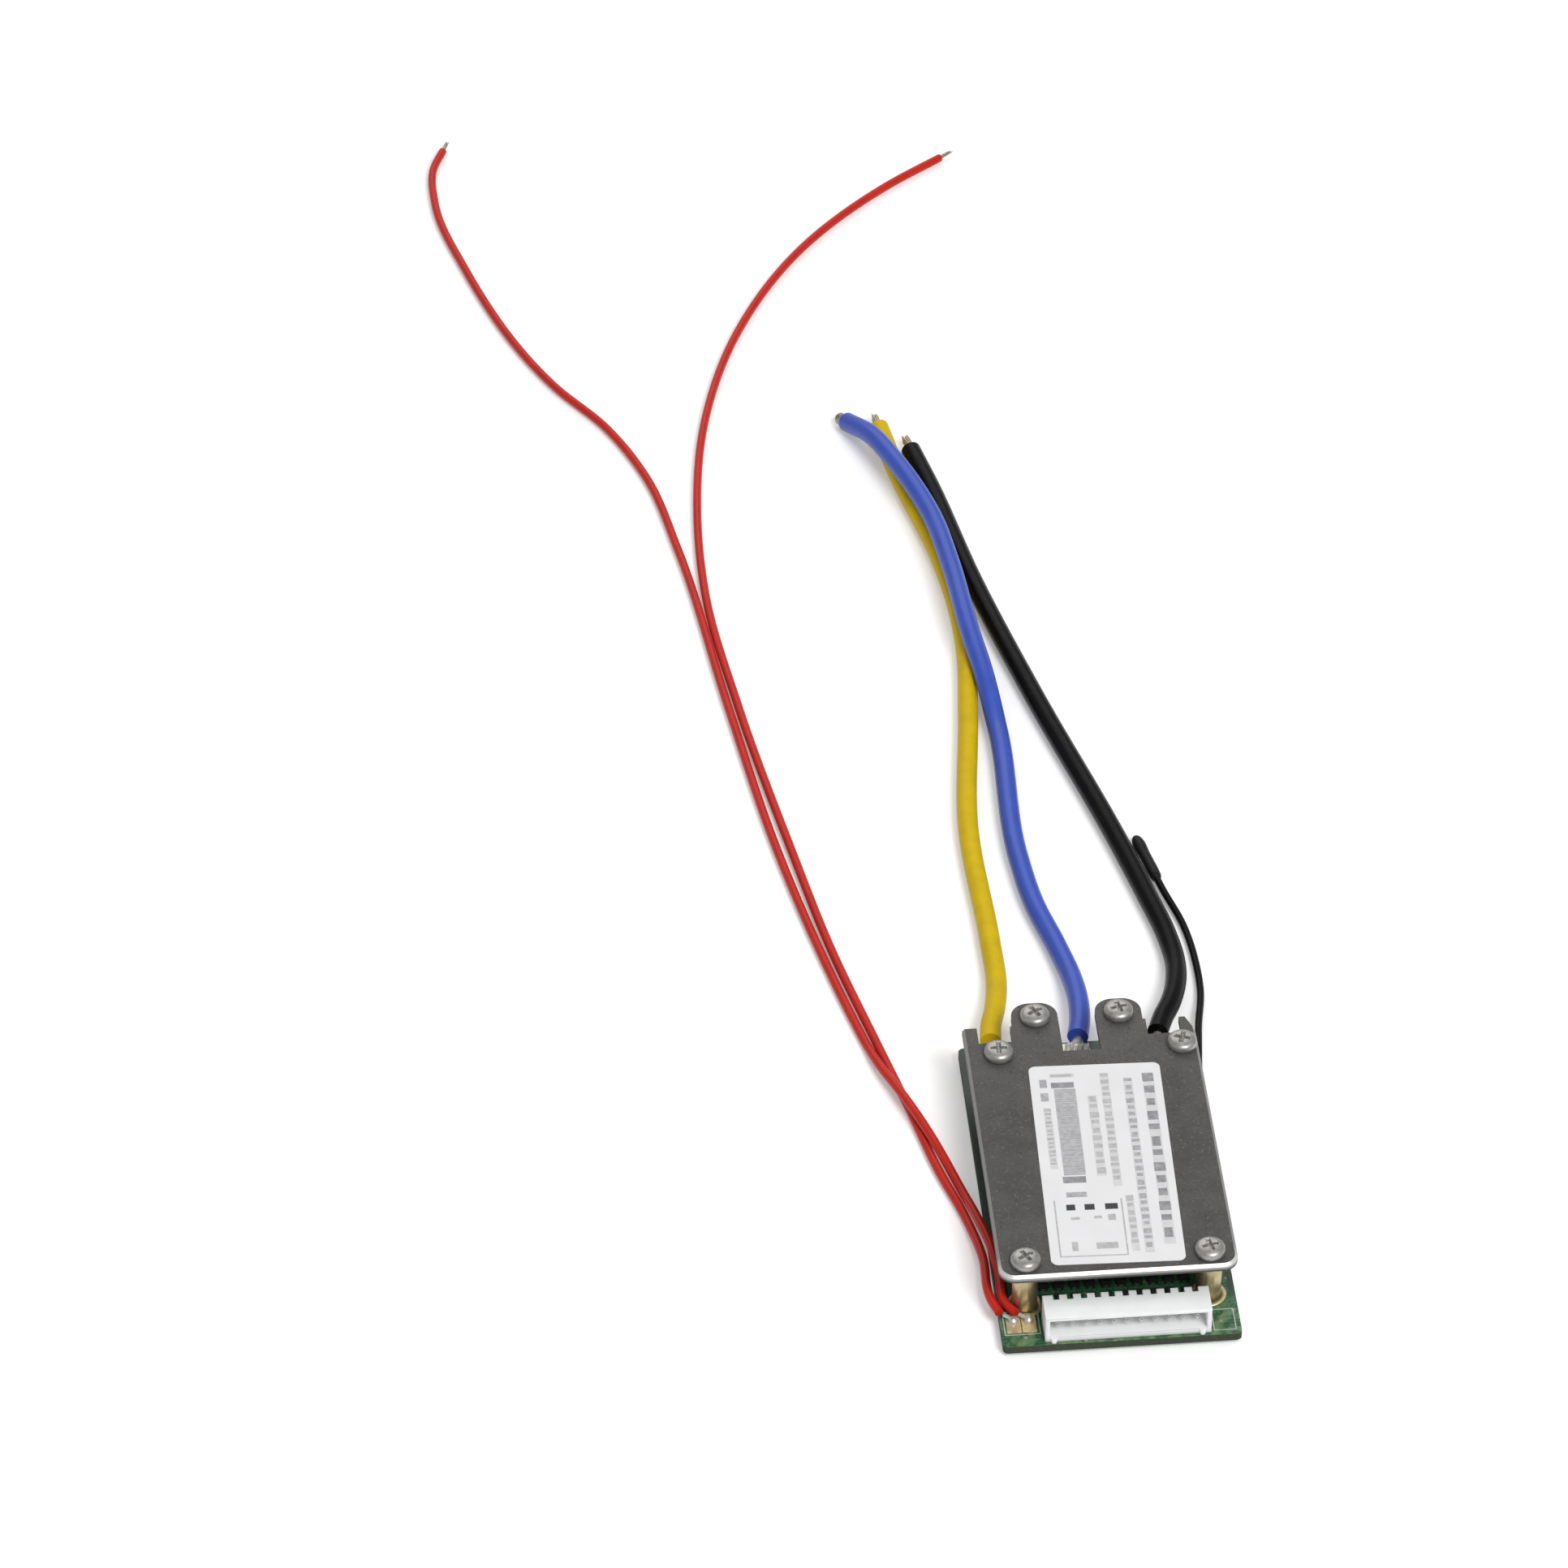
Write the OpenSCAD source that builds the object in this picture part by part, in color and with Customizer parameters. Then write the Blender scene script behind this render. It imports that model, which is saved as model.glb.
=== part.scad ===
// Battery management board: a green circuit board under an aluminium heat plate, with a
// right-angle cell header at the front, three power leads and a thermistor at the rear, and
// two thin switch leads at the front left. +X right, +Y to the rear, +Z up, millimetres.
// The origin is at the bottom centre of the board unit, on the surface that it stands on.

/* [Board] */
// Width of the circuit board and of the heat plate
board_w = 43; // [41:0.5:50]
// Length of the circuit board, front edge to rear edge
board_l = 79; // [77:0.5:90]
// Thickness of the circuit board
board_t = 1.6; // [1.2:0.1:2.4]
// Corner radius of the circuit board
board_corner_r = 1; // [0.5:0.1:2]

/* [Heat plate] */
// Thickness of the aluminium plate
plate_t = 1.5; // [1.2:0.1:3]
// Air gap between the board and the plate, set by the pillars
plate_gap = 8.9; // [8:0.1:11]
// Length of board that shows ahead of the plate
front_ledge = 7; // [6:0.1:8]
// Radius of the two front corners of the plate
plate_corner_r = 3; // [1.5:0.1:4]
// Width of the bevel along the front and side edges of the plate
plate_bevel = 0.5; // [0.2:0.1:0.8]
// Clipped rear right corner, across the board
clip_x = 1.6; // [1:0.1:2.2]
// Clipped rear right corner, along the board
clip_y = 4; // [2:0.1:4.5]
// Width of each rear lug
lug_w = 8.6; // [7.5:0.1:9]
// How far the rear lugs stand out behind the plate
lug_out = 6; // [5.5:0.1:7]
// Distance between the centres of the two lugs
lug_pitch = 15.6; // [15:0.1:17]
// Corner radius of a lug's free end
lug_corner_r = 3.4; // [1:0.1:3.7]
// Width of the notches over the outer power pads
notch_w = 6.2; // [5.5:0.1:7.2]
// Depth of the notches over the outer power pads
notch_d = 4.2; // [2:0.1:4.4]
// Depth of the middle notch between the lugs
middle_notch_d = 7.5; // [4:0.1:8.5]

/* [Pillars and screws] */
// Diameter of the round brass pillars
pillar_d = 4.6; // [4.2:0.1:5]
// Height of the pillar feet that the board stands on
foot_h = 0.8; // [0.7:0.1:1.5]
// Diameter of the pillar feet
foot_d = 5.4; // [5:0.1:5.8]
// Diameter of the pillar neck that is pressed into the board
neck_d = 3.8; // [3.6:0.1:4]
// Diameter of the tapped hole in each foot
tap_d = 2.5; // [2.2:0.1:2.6]
// Depth of the tapped hole in each foot
tap_depth = 4.5; // [3:0.1:5]
// Outer diameter of the screw threads
screw_d = 3; // [2.5:0.1:3]
// Diameter of the pan heads
head_d = 5.5; // [5:0.1:5.8]
// Height of the pan heads
head_h = 1.9; // [1.5:0.1:2.4]
// Depth that each screw reaches into its pillar
screw_reach = 4; // [3:0.1:4.5]
// Width of the cross slots in the heads
slot_w = 0.7; // [0.5:0.1:0.9]
// Depth of the cross slots in the heads
slot_d = 0.9; // [0.5:0.1:1.2]
// Front screws to the side edges of the plate
front_screw_side = 4.9; // [4.7:0.1:5.5]
// Front screws to the front edge of the plate
front_screw_in = 3.6; // [3.2:0.1:4.5]
// Rear left screw to the left edge of the plate
rear_left_side = 6; // [5:0.1:7]
// Rear right screw to the right edge of the plate
rear_right_side = 3; // [3:0.1:4]
// Rear screws to the rear edge of the plate
rear_screw_in = 7.5; // [7.3:0.1:8.5]
// Lug screws to the free end of the lugs
lug_screw_in = 4.2; // [3.6:0.1:4.5]

/* [Cell header] */
// Number of contacts in the header
pin_count = 11; // [8:1:12]
// Distance between contacts
pin_pitch = 2.5; // [2.4:0.1:2.6]
// Length of housing past the last contact
header_end = 2.45; // [2:0.05:3]
// Depth of the housing, front to back
header_depth = 6; // [5.6:0.1:6.5]
// Height of the housing above the board
header_h = 5.8; // [5.4:0.1:6.6]
// Thickness of the housing's walls
header_wall = 0.8; // [0.6:0.05:1]
// Thickness of the housing's floor
header_floor = 1.2; // [1:0.1:1.6]
// Thickness of the housing's back wall
header_back = 2.2; // [1.8:0.1:2.6]
// Sideways place of the header's middle
header_x = 1; // [0:0.1:1.5]
// Header face to the front edge of the board
header_setback = 0.7; // [0.5:0.1:1.2]
// Side of the square contacts
pin_side = 0.64; // [0.5:0.02:0.7]
// Height of the contacts above the board
pin_rise = 2.9; // [2.6:0.1:3.2]
// Length of contact behind the housing
pin_tail_back = 1.3; // [1:0.1:1.6]
// Width of the slots in the housing's rear top edge
comb_slot_w = 1.1; // [0.9:0.05:1.4]
// Depth of the slots in the housing's rear top edge
comb_slot_d = 1.2; // [0.8:0.05:1.4]

/* [Transistors] */
// Number of transistors in each row
fet_count = 4; // [3:1:4]
// Distance between transistors in a row
fet_pitch = 10.3; // [10.2:0.05:10.6]
// Width of a transistor
fet_w = 10; // [9.6:0.1:10.1]
// Length of the moulded body
fet_body_l = 9.2; // [8.6:0.1:9.6]
// Thickness of the transistor, with its tab
fet_t = 4.4; // [4:0.1:4.7]
// Length of tab beyond the body
tab_l = 6.4; // [6:0.1:6.8]
// Thickness of the tab
tab_t = 1.3; // [1.1:0.05:1.4]
// Diameter of the hole in the tab
tab_hole_d = 3.6; // [3.2:0.1:3.8]
// Half the distance between the two rows of tabs
tab_gap = 1.2; // [0.6:0.1:1.6]
// Width of a leg
leg_w = 0.8; // [0.6:0.05:0.9]
// Thickness of a leg
leg_t = 0.5; // [0.4:0.05:0.6]
// Distance between the legs
leg_pitch = 2.54; // [2.3:0.02:2.6]
// Reach of the legs before they bend down
leg_reach = 2.3; // [2:0.1:2.6]
// Thickness of the thermal pads
thermal_t = 0.5; // [0.3:0.05:1]

/* [Label] */
// Width of the label
label_w = 24; // [20:0.5:25]
// Length of the label
label_l = 52; // [45:0.5:53]
// Turn of the label, clockwise in degrees
label_turn = 1.7; // [0:0.1:2.5]
// Thickness of the label
label_t = 0.15; // [0.1:0.05:0.3]
// Corner radius of the label
label_corner_r = 1.2; // [0.5:0.1:2]
// Sideways place of the label's middle
label_x = 0.8; // [0:0.1:1]
// Label to the front edge of the plate
label_in = 2.2; // [1.5:0.1:4]

/* [Small parts] */
// Length of a cell balancing resistor
balance_l = 3.2; // [2.8:0.1:3.4]
// Width of a cell balancing resistor
balance_w = 1.6; // [1.4:0.1:1.8]
// Height of a cell balancing resistor
balance_t = 0.6; // [0.5:0.05:0.8]
// Length of a small transistor body, along the board
switch_l = 1.3; // [1.2:0.1:1.5]
// Width of a small transistor body
switch_w = 1.8; // [1.6:0.1:2]
// Height of a small transistor body
switch_t = 1; // [0.9:0.05:1.2]
// Length of a filter capacitor
cap_l = 2; // [1.8:0.1:2.2]
// Width of a filter capacitor
cap_w = 1.25; // [1.1:0.05:1.4]
// Height of a filter capacitor
cap_t = 1.1; // [0.8:0.05:1.3]
// Length of the monitor chip
chip_l = 9.8; // [9:0.1:10.5]
// Width of the monitor chip's body
chip_w = 4.4; // [4:0.1:5]
// Height of the monitor chip
chip_t = 1.2; // [1:0.05:1.5]
// Number of legs on each side of the monitor chip
chip_legs = 14; // [10:1:15]
// Length of a current sensing resistor
shunt_l = 6.4; // [6:0.1:6.6]
// Width of a current sensing resistor
shunt_w = 3.2; // [3:0.1:3.4]
// Height of a current sensing resistor
shunt_t = 0.8; // [0.6:0.05:1]
// Number of current sensing resistors
shunt_count = 4; // [3:1:5]

/* [Leads] */
// Outer diameter of the three power leads
power_d = 4; // [3:0.1:4]
// Diameter of the power leads' strands
power_core_d = 2.4; // [1.8:0.1:2.6]
// Outer diameter of the two thin red leads
switch_lead_d = 1.7; // [1.2:0.05:1.7]
// Diameter of the thin red leads' strands
switch_core_d = 0.8; // [0.6:0.05:0.9]
// Outer diameter of the thermistor lead
sensor_d = 1.4; // [1.2:0.05:1.4]
// Outer diameter of the thermistor sleeve
sleeve_d = 2.5; // [2:0.1:2.5]
// Length of the thermistor sleeve
sleeve_l = 13; // [8:0.5:14]
// Length of power strands that shows between the solder and the insulation
power_tail = 2.5; // [2:0.1:3]
// Length of thin strands that shows between the solder and the insulation
switch_tail = 1.9; // [1.5:0.1:2]
// Length of the thermistor strand that shows past its solder
sensor_tail = 1.3; // [1:0.1:1.5]
// Bared length at the free ends of the power leads
power_bare = 4; // [3:0.5:6]
// Bared length at the free ends of the thin red leads
switch_bare = 4; // [3:0.5:6]
// Side of the tinned power pads
power_pad = 6; // [5.5:0.1:6.2]
// Thickness of the tinned pads
pad_t = 0.1; // [0.05:0.05:0.2]

/* [Hidden] */

$fn = 40;
CUT = 1;              // how far a cutting shape runs past the faces that it cuts
FIT = 0.05;           // clearance all round a piece that sits in a hole
CLEAR_HOLE = 0.2;     // clearance all round a screw in the plate
PART_GAP = 0.6;       // small parts to the pillars beside them
TAIL_END = 0.25;      // lowest point of the contact and leg tails
SOLDER_END = 0.4;     // lowest point of the solder cones
PAD_EDGE = 1.1;       // switch pads to the board's side and to the housing
PAD_SPLIT = 0.2;      // between the two switch pads

board_z = foot_h;                         // underside of the board
top_z = board_z + board_t;                // top face of the board
plate_z = top_z + plate_gap;              // underside of the plate
plate_top = plate_z + plate_t;
front_y = -board_l / 2;
rear_y = board_l / 2;
plate_front = front_y + front_ledge;
plate_rear = rear_y - lug_out;
side_x = board_w / 2;
lug_x = lug_pitch / 2;
outer_pad_x = lug_x + lug_w / 2 + notch_w / 2 + 0.5;   // middle of an outer notch and pad

corner_spots = [
    [-side_x + front_screw_side, plate_front + front_screw_in],
    [side_x - front_screw_side, plate_front + front_screw_in],
    [-side_x + rear_left_side, plate_rear - rear_screw_in],
    [side_x - rear_right_side, plate_rear - rear_screw_in]];
lug_spots = [for (s = [-1, 1]) [s * lug_x, rear_y - lug_screw_in]];
all_spots = concat(corner_spots, lug_spots);

header_w = (pin_count - 1) * pin_pitch + 2 * header_end;
header_front = front_y + header_setback;
header_rear = header_front + header_depth;
pin_z = top_z + pin_rise;
pin_tail_y = header_rear + pin_tail_back - pin_side / 2;
pin_x = [for (i = [0 : pin_count - 1]) header_x + (i - (pin_count - 1) / 2) * pin_pitch];
part_room = board_w / 2 - front_screw_side - pillar_d / 2 - PART_GAP - switch_w / 2;
channel_x = [for (i = [0 : pin_count - 2]) part_room * (2 * i / (pin_count - 2) - 1)];

fet_top = plate_z - thermal_t;
fet_x = [for (i = [0 : fet_count - 1]) (i - (fet_count - 1) / 2) * fet_pitch];
leg_x = [for (x = fet_x, k = [-1, 0, 1]) x + k * leg_pitch];
leg_z = fet_top - fet_t / 2 - leg_t / 2;
leg_tail_y = tab_gap + tab_l + fet_body_l + leg_reach - leg_t / 2;
thermal_l = tab_l + fet_body_l;
thermal_w = (fet_count - 1) * fet_pitch + fet_w;

switch_span = switch_l + 1;                // length of a small transistor over its legs
row_gap = (-leg_tail_y - pin_tail_y - balance_l - switch_span - cap_l) / 4;
balance_y = pin_tail_y + row_gap + balance_l / 2;
switch_y = balance_y + balance_l / 2 + row_gap + switch_span / 2;
cap_y = switch_y + switch_span / 2 + row_gap + cap_l / 2;
chip_y = -(tab_gap + tab_l + fet_body_l / 2);
shunt_y = leg_tail_y + 1.6 + shunt_l / 2;
shunt_pitch = shunt_w + 0.9;
power_pad_y = rear_y - 0.5 - power_pad / 2;
switch_pad_l = 4.8;
pad_room = header_x - header_w / 2 + side_x;       // board beside the housing
switch_pad_w = (pad_room - 2 * PAD_EDGE - PAD_SPLIT) / 2;
switch_pad_y = front_y + 3.4 + switch_pad_l / 2;
switch_pad_x = [for (k = [0, 1])
    -side_x + PAD_EDGE + switch_pad_w / 2 + k * (switch_pad_w + PAD_SPLIT)];
sensor_pad = [side_x - 1.4, leg_tail_y - 1.8];

// Routes of the free leads, from the board outwards
YELLOW_ROUTE = [[-15.5, 38.5, 4.6], [-15, 43, 4.2], [-13.5, 49.5, 3.1], [-12.4, 57, 2.2],
    [-12.3, 69, 2], [-13, 102, 2], [-9.4, 137, 2], [-7.9, 155, 2], [-8.2, 170, 2],
    [-10, 185.5, 2], [-16, 214.5, 2], [-18.2, 229, 2]];
BLUE_ROUTE = [[0.8, 38.5, 4.6], [1.7, 43, 4.3], [2.2, 49.5, 3.6], [1.8, 57.5, 2.5],
    [0.2, 66.5, 2], [-2.8, 79.5, 2], [-4.3, 93, 2], [-4.3, 133, 2.2],
    [-5.6, 146, 5], [-6.9, 155.5, 6.2], [-8.8, 179, 6.2], [-10.7, 193, 6.2],
    [-16.4, 212, 6.2], [-20.6, 223, 5.1], [-24.6, 231, 2.3]];
BLACK_ROUTE = [[15.8, 38.5, 4.6], [17.2, 42.5, 4.3], [19.4, 47.5, 3.8], [21.2, 54, 3],
    [21.9, 60.5, 2.2], [21.3, 68, 2], [18.9, 80, 2], [15.6, 95, 2], [4, 141, 2],
    [-4.4, 178.5, 2], [-9.8, 209, 2], [-12.4, 221, 2]];
RIGHT_RED_ROUTE = [[-21.4, -31.5, 3.3], [-22.4, -28.5, 3.3], [-22.8, -16, 2.4], [-24.4, -5, 0.9],
    [-28.3, 9, 0.9], [-31.6, 24, 0.9], [-36, 42.8, 0.9], [-42.4, 71, 0.9], [-47.4, 100, 0.9],
    [-54.2, 144.5, 0.9], [-57.8, 178, 0.9], [-57.5, 205, 0.9], [-53.5, 236, 0.9], [-44.5, 265, 0.9], [-28, 294, 0.9],
    [-8, 314.5, 0.9], [4, 323.5, 0.9]];
LEFT_RED_ROUTE = [[-18.5, -31.8, 3.3], [-20, -29.5, 3.3], [-20.5, -22, 3.4], [-21.2, -14, 3.5],
    [-22.6, -7, 3], [-24.6, 2.5, 1.4], [-28.6, 15.5, 2.4], [-31, 22.2, 2.8], [-33.5, 29, 2.6],
    [-36.1, 36, 1.9], [-38, 43, 0.9], [-44.6, 71, 0.9], [-50.1, 100, 0.9], [-56.2, 144.5, 0.9],
    [-62.3, 194, 0.9], [-67, 218, 0.9], [-74, 235, 0.9], [-83.5, 249.5, 0.9], [-100, 292, 0.9],
    [-105.2, 316, 0.9], [-104.8, 329, 0.9], [-102.6, 335, 0.9]];
SENSOR_ROUTE = [[20, 18.5, 3.2], [21.7, 25, 3.4], [22.8, 33, 3.6], [24, 42, 2.4],
    [25.9, 54, 0.9], [26, 61, 0.8], [25, 72, 0.8], [22.2, 82.5, 1.25], [21.6, 85.2, 1.27]];

function unit(v) = v / norm(v);
function last(list) = list[len(list) - 1];

// Direction of a route at point i: along the line between its neighbours
function heading(p, i) = unit(p[min(i + 1, len(p) - 1)] - p[max(i - 1, 0)]);

// Corners of the cross-section at point i, square to the route
function ring(p, i, r, sides) =
    let (along = heading(p, i), across = unit(cross(along, [0, 0, 1])),
        up = cross(across, along))
    [for (k = [0 : sides - 1])
        let (a = 360 * (k + 0.5) / sides) p[i] + r * (cos(a) * across + sin(a) * up)];

// A lead: one closed skin through the rings of its route
module tube(p, d) {
    sides = 8;
    count = len(p);
    points = [for (i = [0 : count - 1]) each ring(p, i, d / 2, sides)];
    skin = [for (i = [0 : count - 2], k = [0 : sides - 1])
        let (a = i * sides + k, b = i * sides + (k + 1) % sides)
        each [[a, b, b + sides], [a, b + sides, a + sides]]];
    ends = [[for (k = [sides - 1 : -1 : 0]) k],
        [for (k = [0 : sides - 1]) (count - 1) * sides + k]];
    polyhedron(points, concat(skin, ends), convexity = 6);
}

// A round rod from p towards q, with length l
module rod(p, q, d, l) {
    v = q - p;
    translate(p)
        rotate([0, acos(v[2] / norm(v)), atan2(v[1], v[0])])
            cylinder(d = d, h = l);
}

// Bared strands past the free end of a lead
module bare_end(route, d, l) {
    way = heading(route, len(route) - 1);
    rod(last(route) + 0.02 * way, last(route) + way, d, l);
}

module rounded_rectangle(w, l, r) {
    square([w - 2 * r, l], center = true);
    square([w, l - 2 * r], center = true);
    for (x = [-1, 1], y = [-1, 1])
        translate([x * (w / 2 - r), y * (l / 2 - r)]) circle(r);
}

module block(w, l, h) {
    translate([-w / 2, -l / 2, 0]) cube([w, l, h]);
}

// ---- Board, pillars, plate and screws

module circuit_board() {
    color("darkgreen")
        difference() {
            translate([0, 0, board_z])
                linear_extrude(board_t) rounded_rectangle(board_w, board_l, board_corner_r);
            for (s = all_spots)
                translate([s[0], s[1], board_z - CUT])
                    cylinder(d = neck_d + 2 * FIT, h = board_t + 2 * CUT);
            for (x = pin_x)
                translate([x, pin_tail_y, board_z - CUT])
                    cylinder(d = pin_side * sqrt(2) + 2 * FIT, h = board_t + 2 * CUT, $fn = 16);
            for (x = leg_x, y = [-leg_tail_y, leg_tail_y])
                translate([x, y, board_z - CUT])
                    cylinder(d = norm([leg_w, leg_t]) + 2 * FIT, h = board_t + 2 * CUT, $fn = 16);
        }
}

// Outline of the heat plate: rounded front corners, lugs and notches at the rear
module plate_outline() {
    difference() {
        union() {
            translate([-side_x, plate_front + plate_corner_r])
                square([board_w, plate_rear - plate_front - plate_corner_r]);
            translate([-side_x + plate_corner_r, plate_front])
                square([board_w - 2 * plate_corner_r, plate_corner_r + CUT]);
            for (s = [-1, 1])
                translate([s * (side_x - plate_corner_r), plate_front + plate_corner_r])
                    circle(plate_corner_r);
            for (s = [-1, 1]) translate([s * lug_x, 0]) lug_outline();
        }
        for (s = [-1, 1])
            translate([s * outer_pad_x - notch_w / 2, plate_rear - notch_d])
                square([notch_w, notch_d + CUT]);
        translate([-lug_x + lug_w / 2, plate_rear - middle_notch_d])
            square([lug_pitch - lug_w, middle_notch_d + CUT]);
        polygon([[side_x - clip_x, plate_rear + CUT], [side_x - clip_x, plate_rear],
            [side_x, plate_rear - clip_y], [side_x + CUT, plate_rear - clip_y],
            [side_x + CUT, plate_rear + CUT]]);
    }
}

module lug_outline() {
    translate([-lug_w / 2, plate_rear - CUT])
        square([lug_w, lug_out + CUT - lug_corner_r]);
    translate([-lug_w / 2 + lug_corner_r, plate_rear - CUT])
        square([lug_w - 2 * lug_corner_r, lug_out + CUT]);
    for (s = [-1, 1])
        translate([s * (lug_w / 2 - lug_corner_r), rear_y - lug_corner_r])
            circle(lug_corner_r);
}

// What the bevel takes off a straight top edge that runs along +X from the origin
module edge_bevel(l) {
    translate([0, 0, -plate_bevel])
        rotate([0, 90, 0])
            linear_extrude(l)
                polygon([[0, -CUT], [0, 0], [-plate_bevel, plate_bevel],
                    [-plate_bevel - CUT, plate_bevel], [-plate_bevel - CUT, -CUT]]);
}

// What the bevel takes off a rounded corner: the quarter outside a cone
module corner_bevel() {
    rotate([0, 0, 180])
        rotate_extrude(angle = 90)
            polygon([[plate_corner_r, -plate_bevel], [plate_corner_r + CUT, -plate_bevel],
                [plate_corner_r + CUT, CUT], [plate_corner_r - plate_bevel, CUT],
                [plate_corner_r - plate_bevel, 0]]);
}

module heat_plate() {
    color("dimgray")
        difference() {
            translate([0, 0, plate_z]) linear_extrude(plate_t) plate_outline();
            for (s = all_spots)
                translate([s[0], s[1], plate_z - CUT])
                    cylinder(d = screw_d + 2 * CLEAR_HOLE, h = plate_t + 2 * CUT);
            translate([-side_x + plate_corner_r, plate_front, plate_top])
                edge_bevel(board_w - 2 * plate_corner_r);
            translate([-side_x + plate_corner_r, plate_front + plate_corner_r, plate_top])
                corner_bevel();
            translate([side_x - plate_corner_r, plate_front + plate_corner_r, plate_top])
                mirror([1, 0, 0]) corner_bevel();
            translate([-side_x, plate_rear + CUT, plate_top])
                rotate([0, 0, -90])
                    edge_bevel(plate_rear - plate_front - plate_corner_r + CUT);
            translate([side_x, plate_front + plate_corner_r, plate_top])
                rotate([0, 0, 90])
                    edge_bevel(plate_rear - plate_front - plate_corner_r + CUT);
        }
}

// Brass pillar: a turned foot, a neck in the board, a body, and a tapped hole at each end
module pillar() {
    foot_r = foot_d / 2;
    neck_r = neck_d / 2;
    body_r = pillar_d / 2;
    difference() {
        rotate_extrude()
            polygon([[0, 0], [foot_r - 0.3, 0], [foot_r, 0.3], [foot_r, board_z],
                [neck_r, board_z], [neck_r, top_z], [body_r, top_z], [body_r, plate_z],
                [0, plate_z]]);
        translate([0, 0, -CUT]) cylinder(d = tap_d, h = tap_depth + CUT);
        translate([0, 0, plate_z - screw_reach - 0.4])
            cylinder(d = screw_d + 2 * FIT, h = screw_reach + 0.4 + CUT);
    }
}

// Pan head screw with a cross recess: domed head on the plate, shank into the pillar
module pan_screw() {
    r = head_d / 2;
    difference() {
        union() {
            rotate_extrude()
                polygon(concat([[0, plate_top], [r, plate_top], [r, plate_top + 0.35 * head_h]],
                    [for (a = [15 : 15 : 90]) [r - 0.45 * head_h * (1 - cos(a)) - (a == 90 ? r
                        - 0.45 * head_h : 0), plate_top + head_h * (0.35 + 0.65 * sin(a))]]));
            translate([0, 0, plate_z - screw_reach])
                cylinder(d = screw_d, h = screw_reach + plate_t);
        }
        for (a = [0, 90])
            rotate([0, 0, a])
                translate([0, 0, plate_top + head_h - slot_d])
                    block(0.56 * head_d, slot_w, slot_d + CUT);
    }
}

module at_spots(spots) {
    for (s = spots) translate([s[0], s[1], 0]) children();
}

module corner_pillars() { color("darkkhaki") at_spots(corner_spots) pillar(); }
module lug_pillars() { color("darkkhaki") at_spots(lug_spots) pillar(); }
module corner_screws() { color("silver") at_spots(corner_spots) pan_screw(); }
module lug_screws() { color("silver") at_spots(lug_spots) pan_screw(); }

module label() {
    color("white")
        translate([label_x, plate_front + label_in + label_l / 2, plate_top])
            rotate([0, 0, -label_turn])
                linear_extrude(label_t) rounded_rectangle(label_w, label_l, label_corner_r);
}

// ---- Transistor rows: the discharge row faces the rear, the charge row faces the front

module moulded_body() {
    edge = 0.5;
    y = tab_gap + tab_l;
    z = fet_top - fet_t;
    translate([-fet_w / 2, 0, 0])
        rotate([90, 0, 90])
            linear_extrude(fet_w)
                polygon([[y + edge, z], [y + fet_body_l - edge, z],
                    [y + fet_body_l, leg_z], [y + fet_body_l, leg_z + leg_t],
                    [y + fet_body_l - edge, fet_top - tab_t], [y, fet_top - tab_t]]);
}

// Tab that bolts or clamps to the heat sink, running over the back of the body
module metal_tab() {
    translate([0, 0, fet_top - tab_t])
        difference() {
            translate([-fet_w / 2, tab_gap, 0]) cube([fet_w, tab_l + fet_body_l - 0.5, tab_t]);
            translate([0, tab_gap + tab_l / 2 - 0.3, -CUT])
                cylinder(d = tab_hole_d, h = tab_t + 2 * CUT);
            for (s = [-1, 1])
                translate([s * fet_w / 2, tab_gap + tab_l, -CUT])
                    cylinder(d = 1.2, h = tab_t + 2 * CUT, $fn = 24);
        }
}

// One bent leg: out of the body, then down through the board
module bent_leg() {
    start = tab_gap + tab_l + fet_body_l;
    translate([-leg_w / 2, start, leg_z]) cube([leg_w, leg_reach, leg_t]);
    translate([-leg_w / 2, leg_tail_y - leg_t / 2, TAIL_END])
        cube([leg_w, leg_t, leg_z - TAIL_END + leg_t]);
}

module in_row(side) {
    for (x = fet_x) translate([x, 0, 0]) mirror([0, side < 0 ? 1 : 0, 0]) children();
}

module legs_in_row(side) {
    in_row(side) for (k = [-1, 0, 1]) translate([k * leg_pitch, 0, 0]) bent_leg();
}

module discharge_transistors() { color("black") in_row(1) moulded_body(); }
module discharge_tabs() { color("silver") in_row(1) metal_tab(); }
module discharge_legs() { color("silver") legs_in_row(1); }
module charge_transistors() { color("black") in_row(-1) moulded_body(); }
module charge_tabs() { color("silver") in_row(-1) metal_tab(); }
module charge_legs() { color("silver") legs_in_row(-1); }

module thermal_pad(side) {
    color("lightgray")
        translate([0, side * (tab_gap + thermal_l / 2), fet_top])
            block(thermal_w, thermal_l, thermal_t);
}

module front_thermal_pad() { thermal_pad(-1); }
module rear_thermal_pad() { thermal_pad(1); }

// Solder cone under the board round a tail of w by l
module solder_cone(x, y, w, l) {
    translate([x, y, SOLDER_END])
        difference() {
            cylinder(h = board_z - SOLDER_END, r1 = norm([w, l]) / 2 + 0.08,
                r2 = norm([w, l]) / 2 + 0.4, $fn = 20);
            translate([0, 0, -CUT]) block(w, l, board_z + 2 * CUT);
        }
}

module leg_solder() {
    color("lightgray")
        for (x = leg_x, y = [-leg_tail_y, leg_tail_y]) solder_cone(x, y, leg_w, leg_t);
}

module header_solder() {
    color("lightgray") for (x = pin_x) solder_cone(x, pin_tail_y, pin_side, pin_side);
}

// ---- Right-angle cell header

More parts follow.
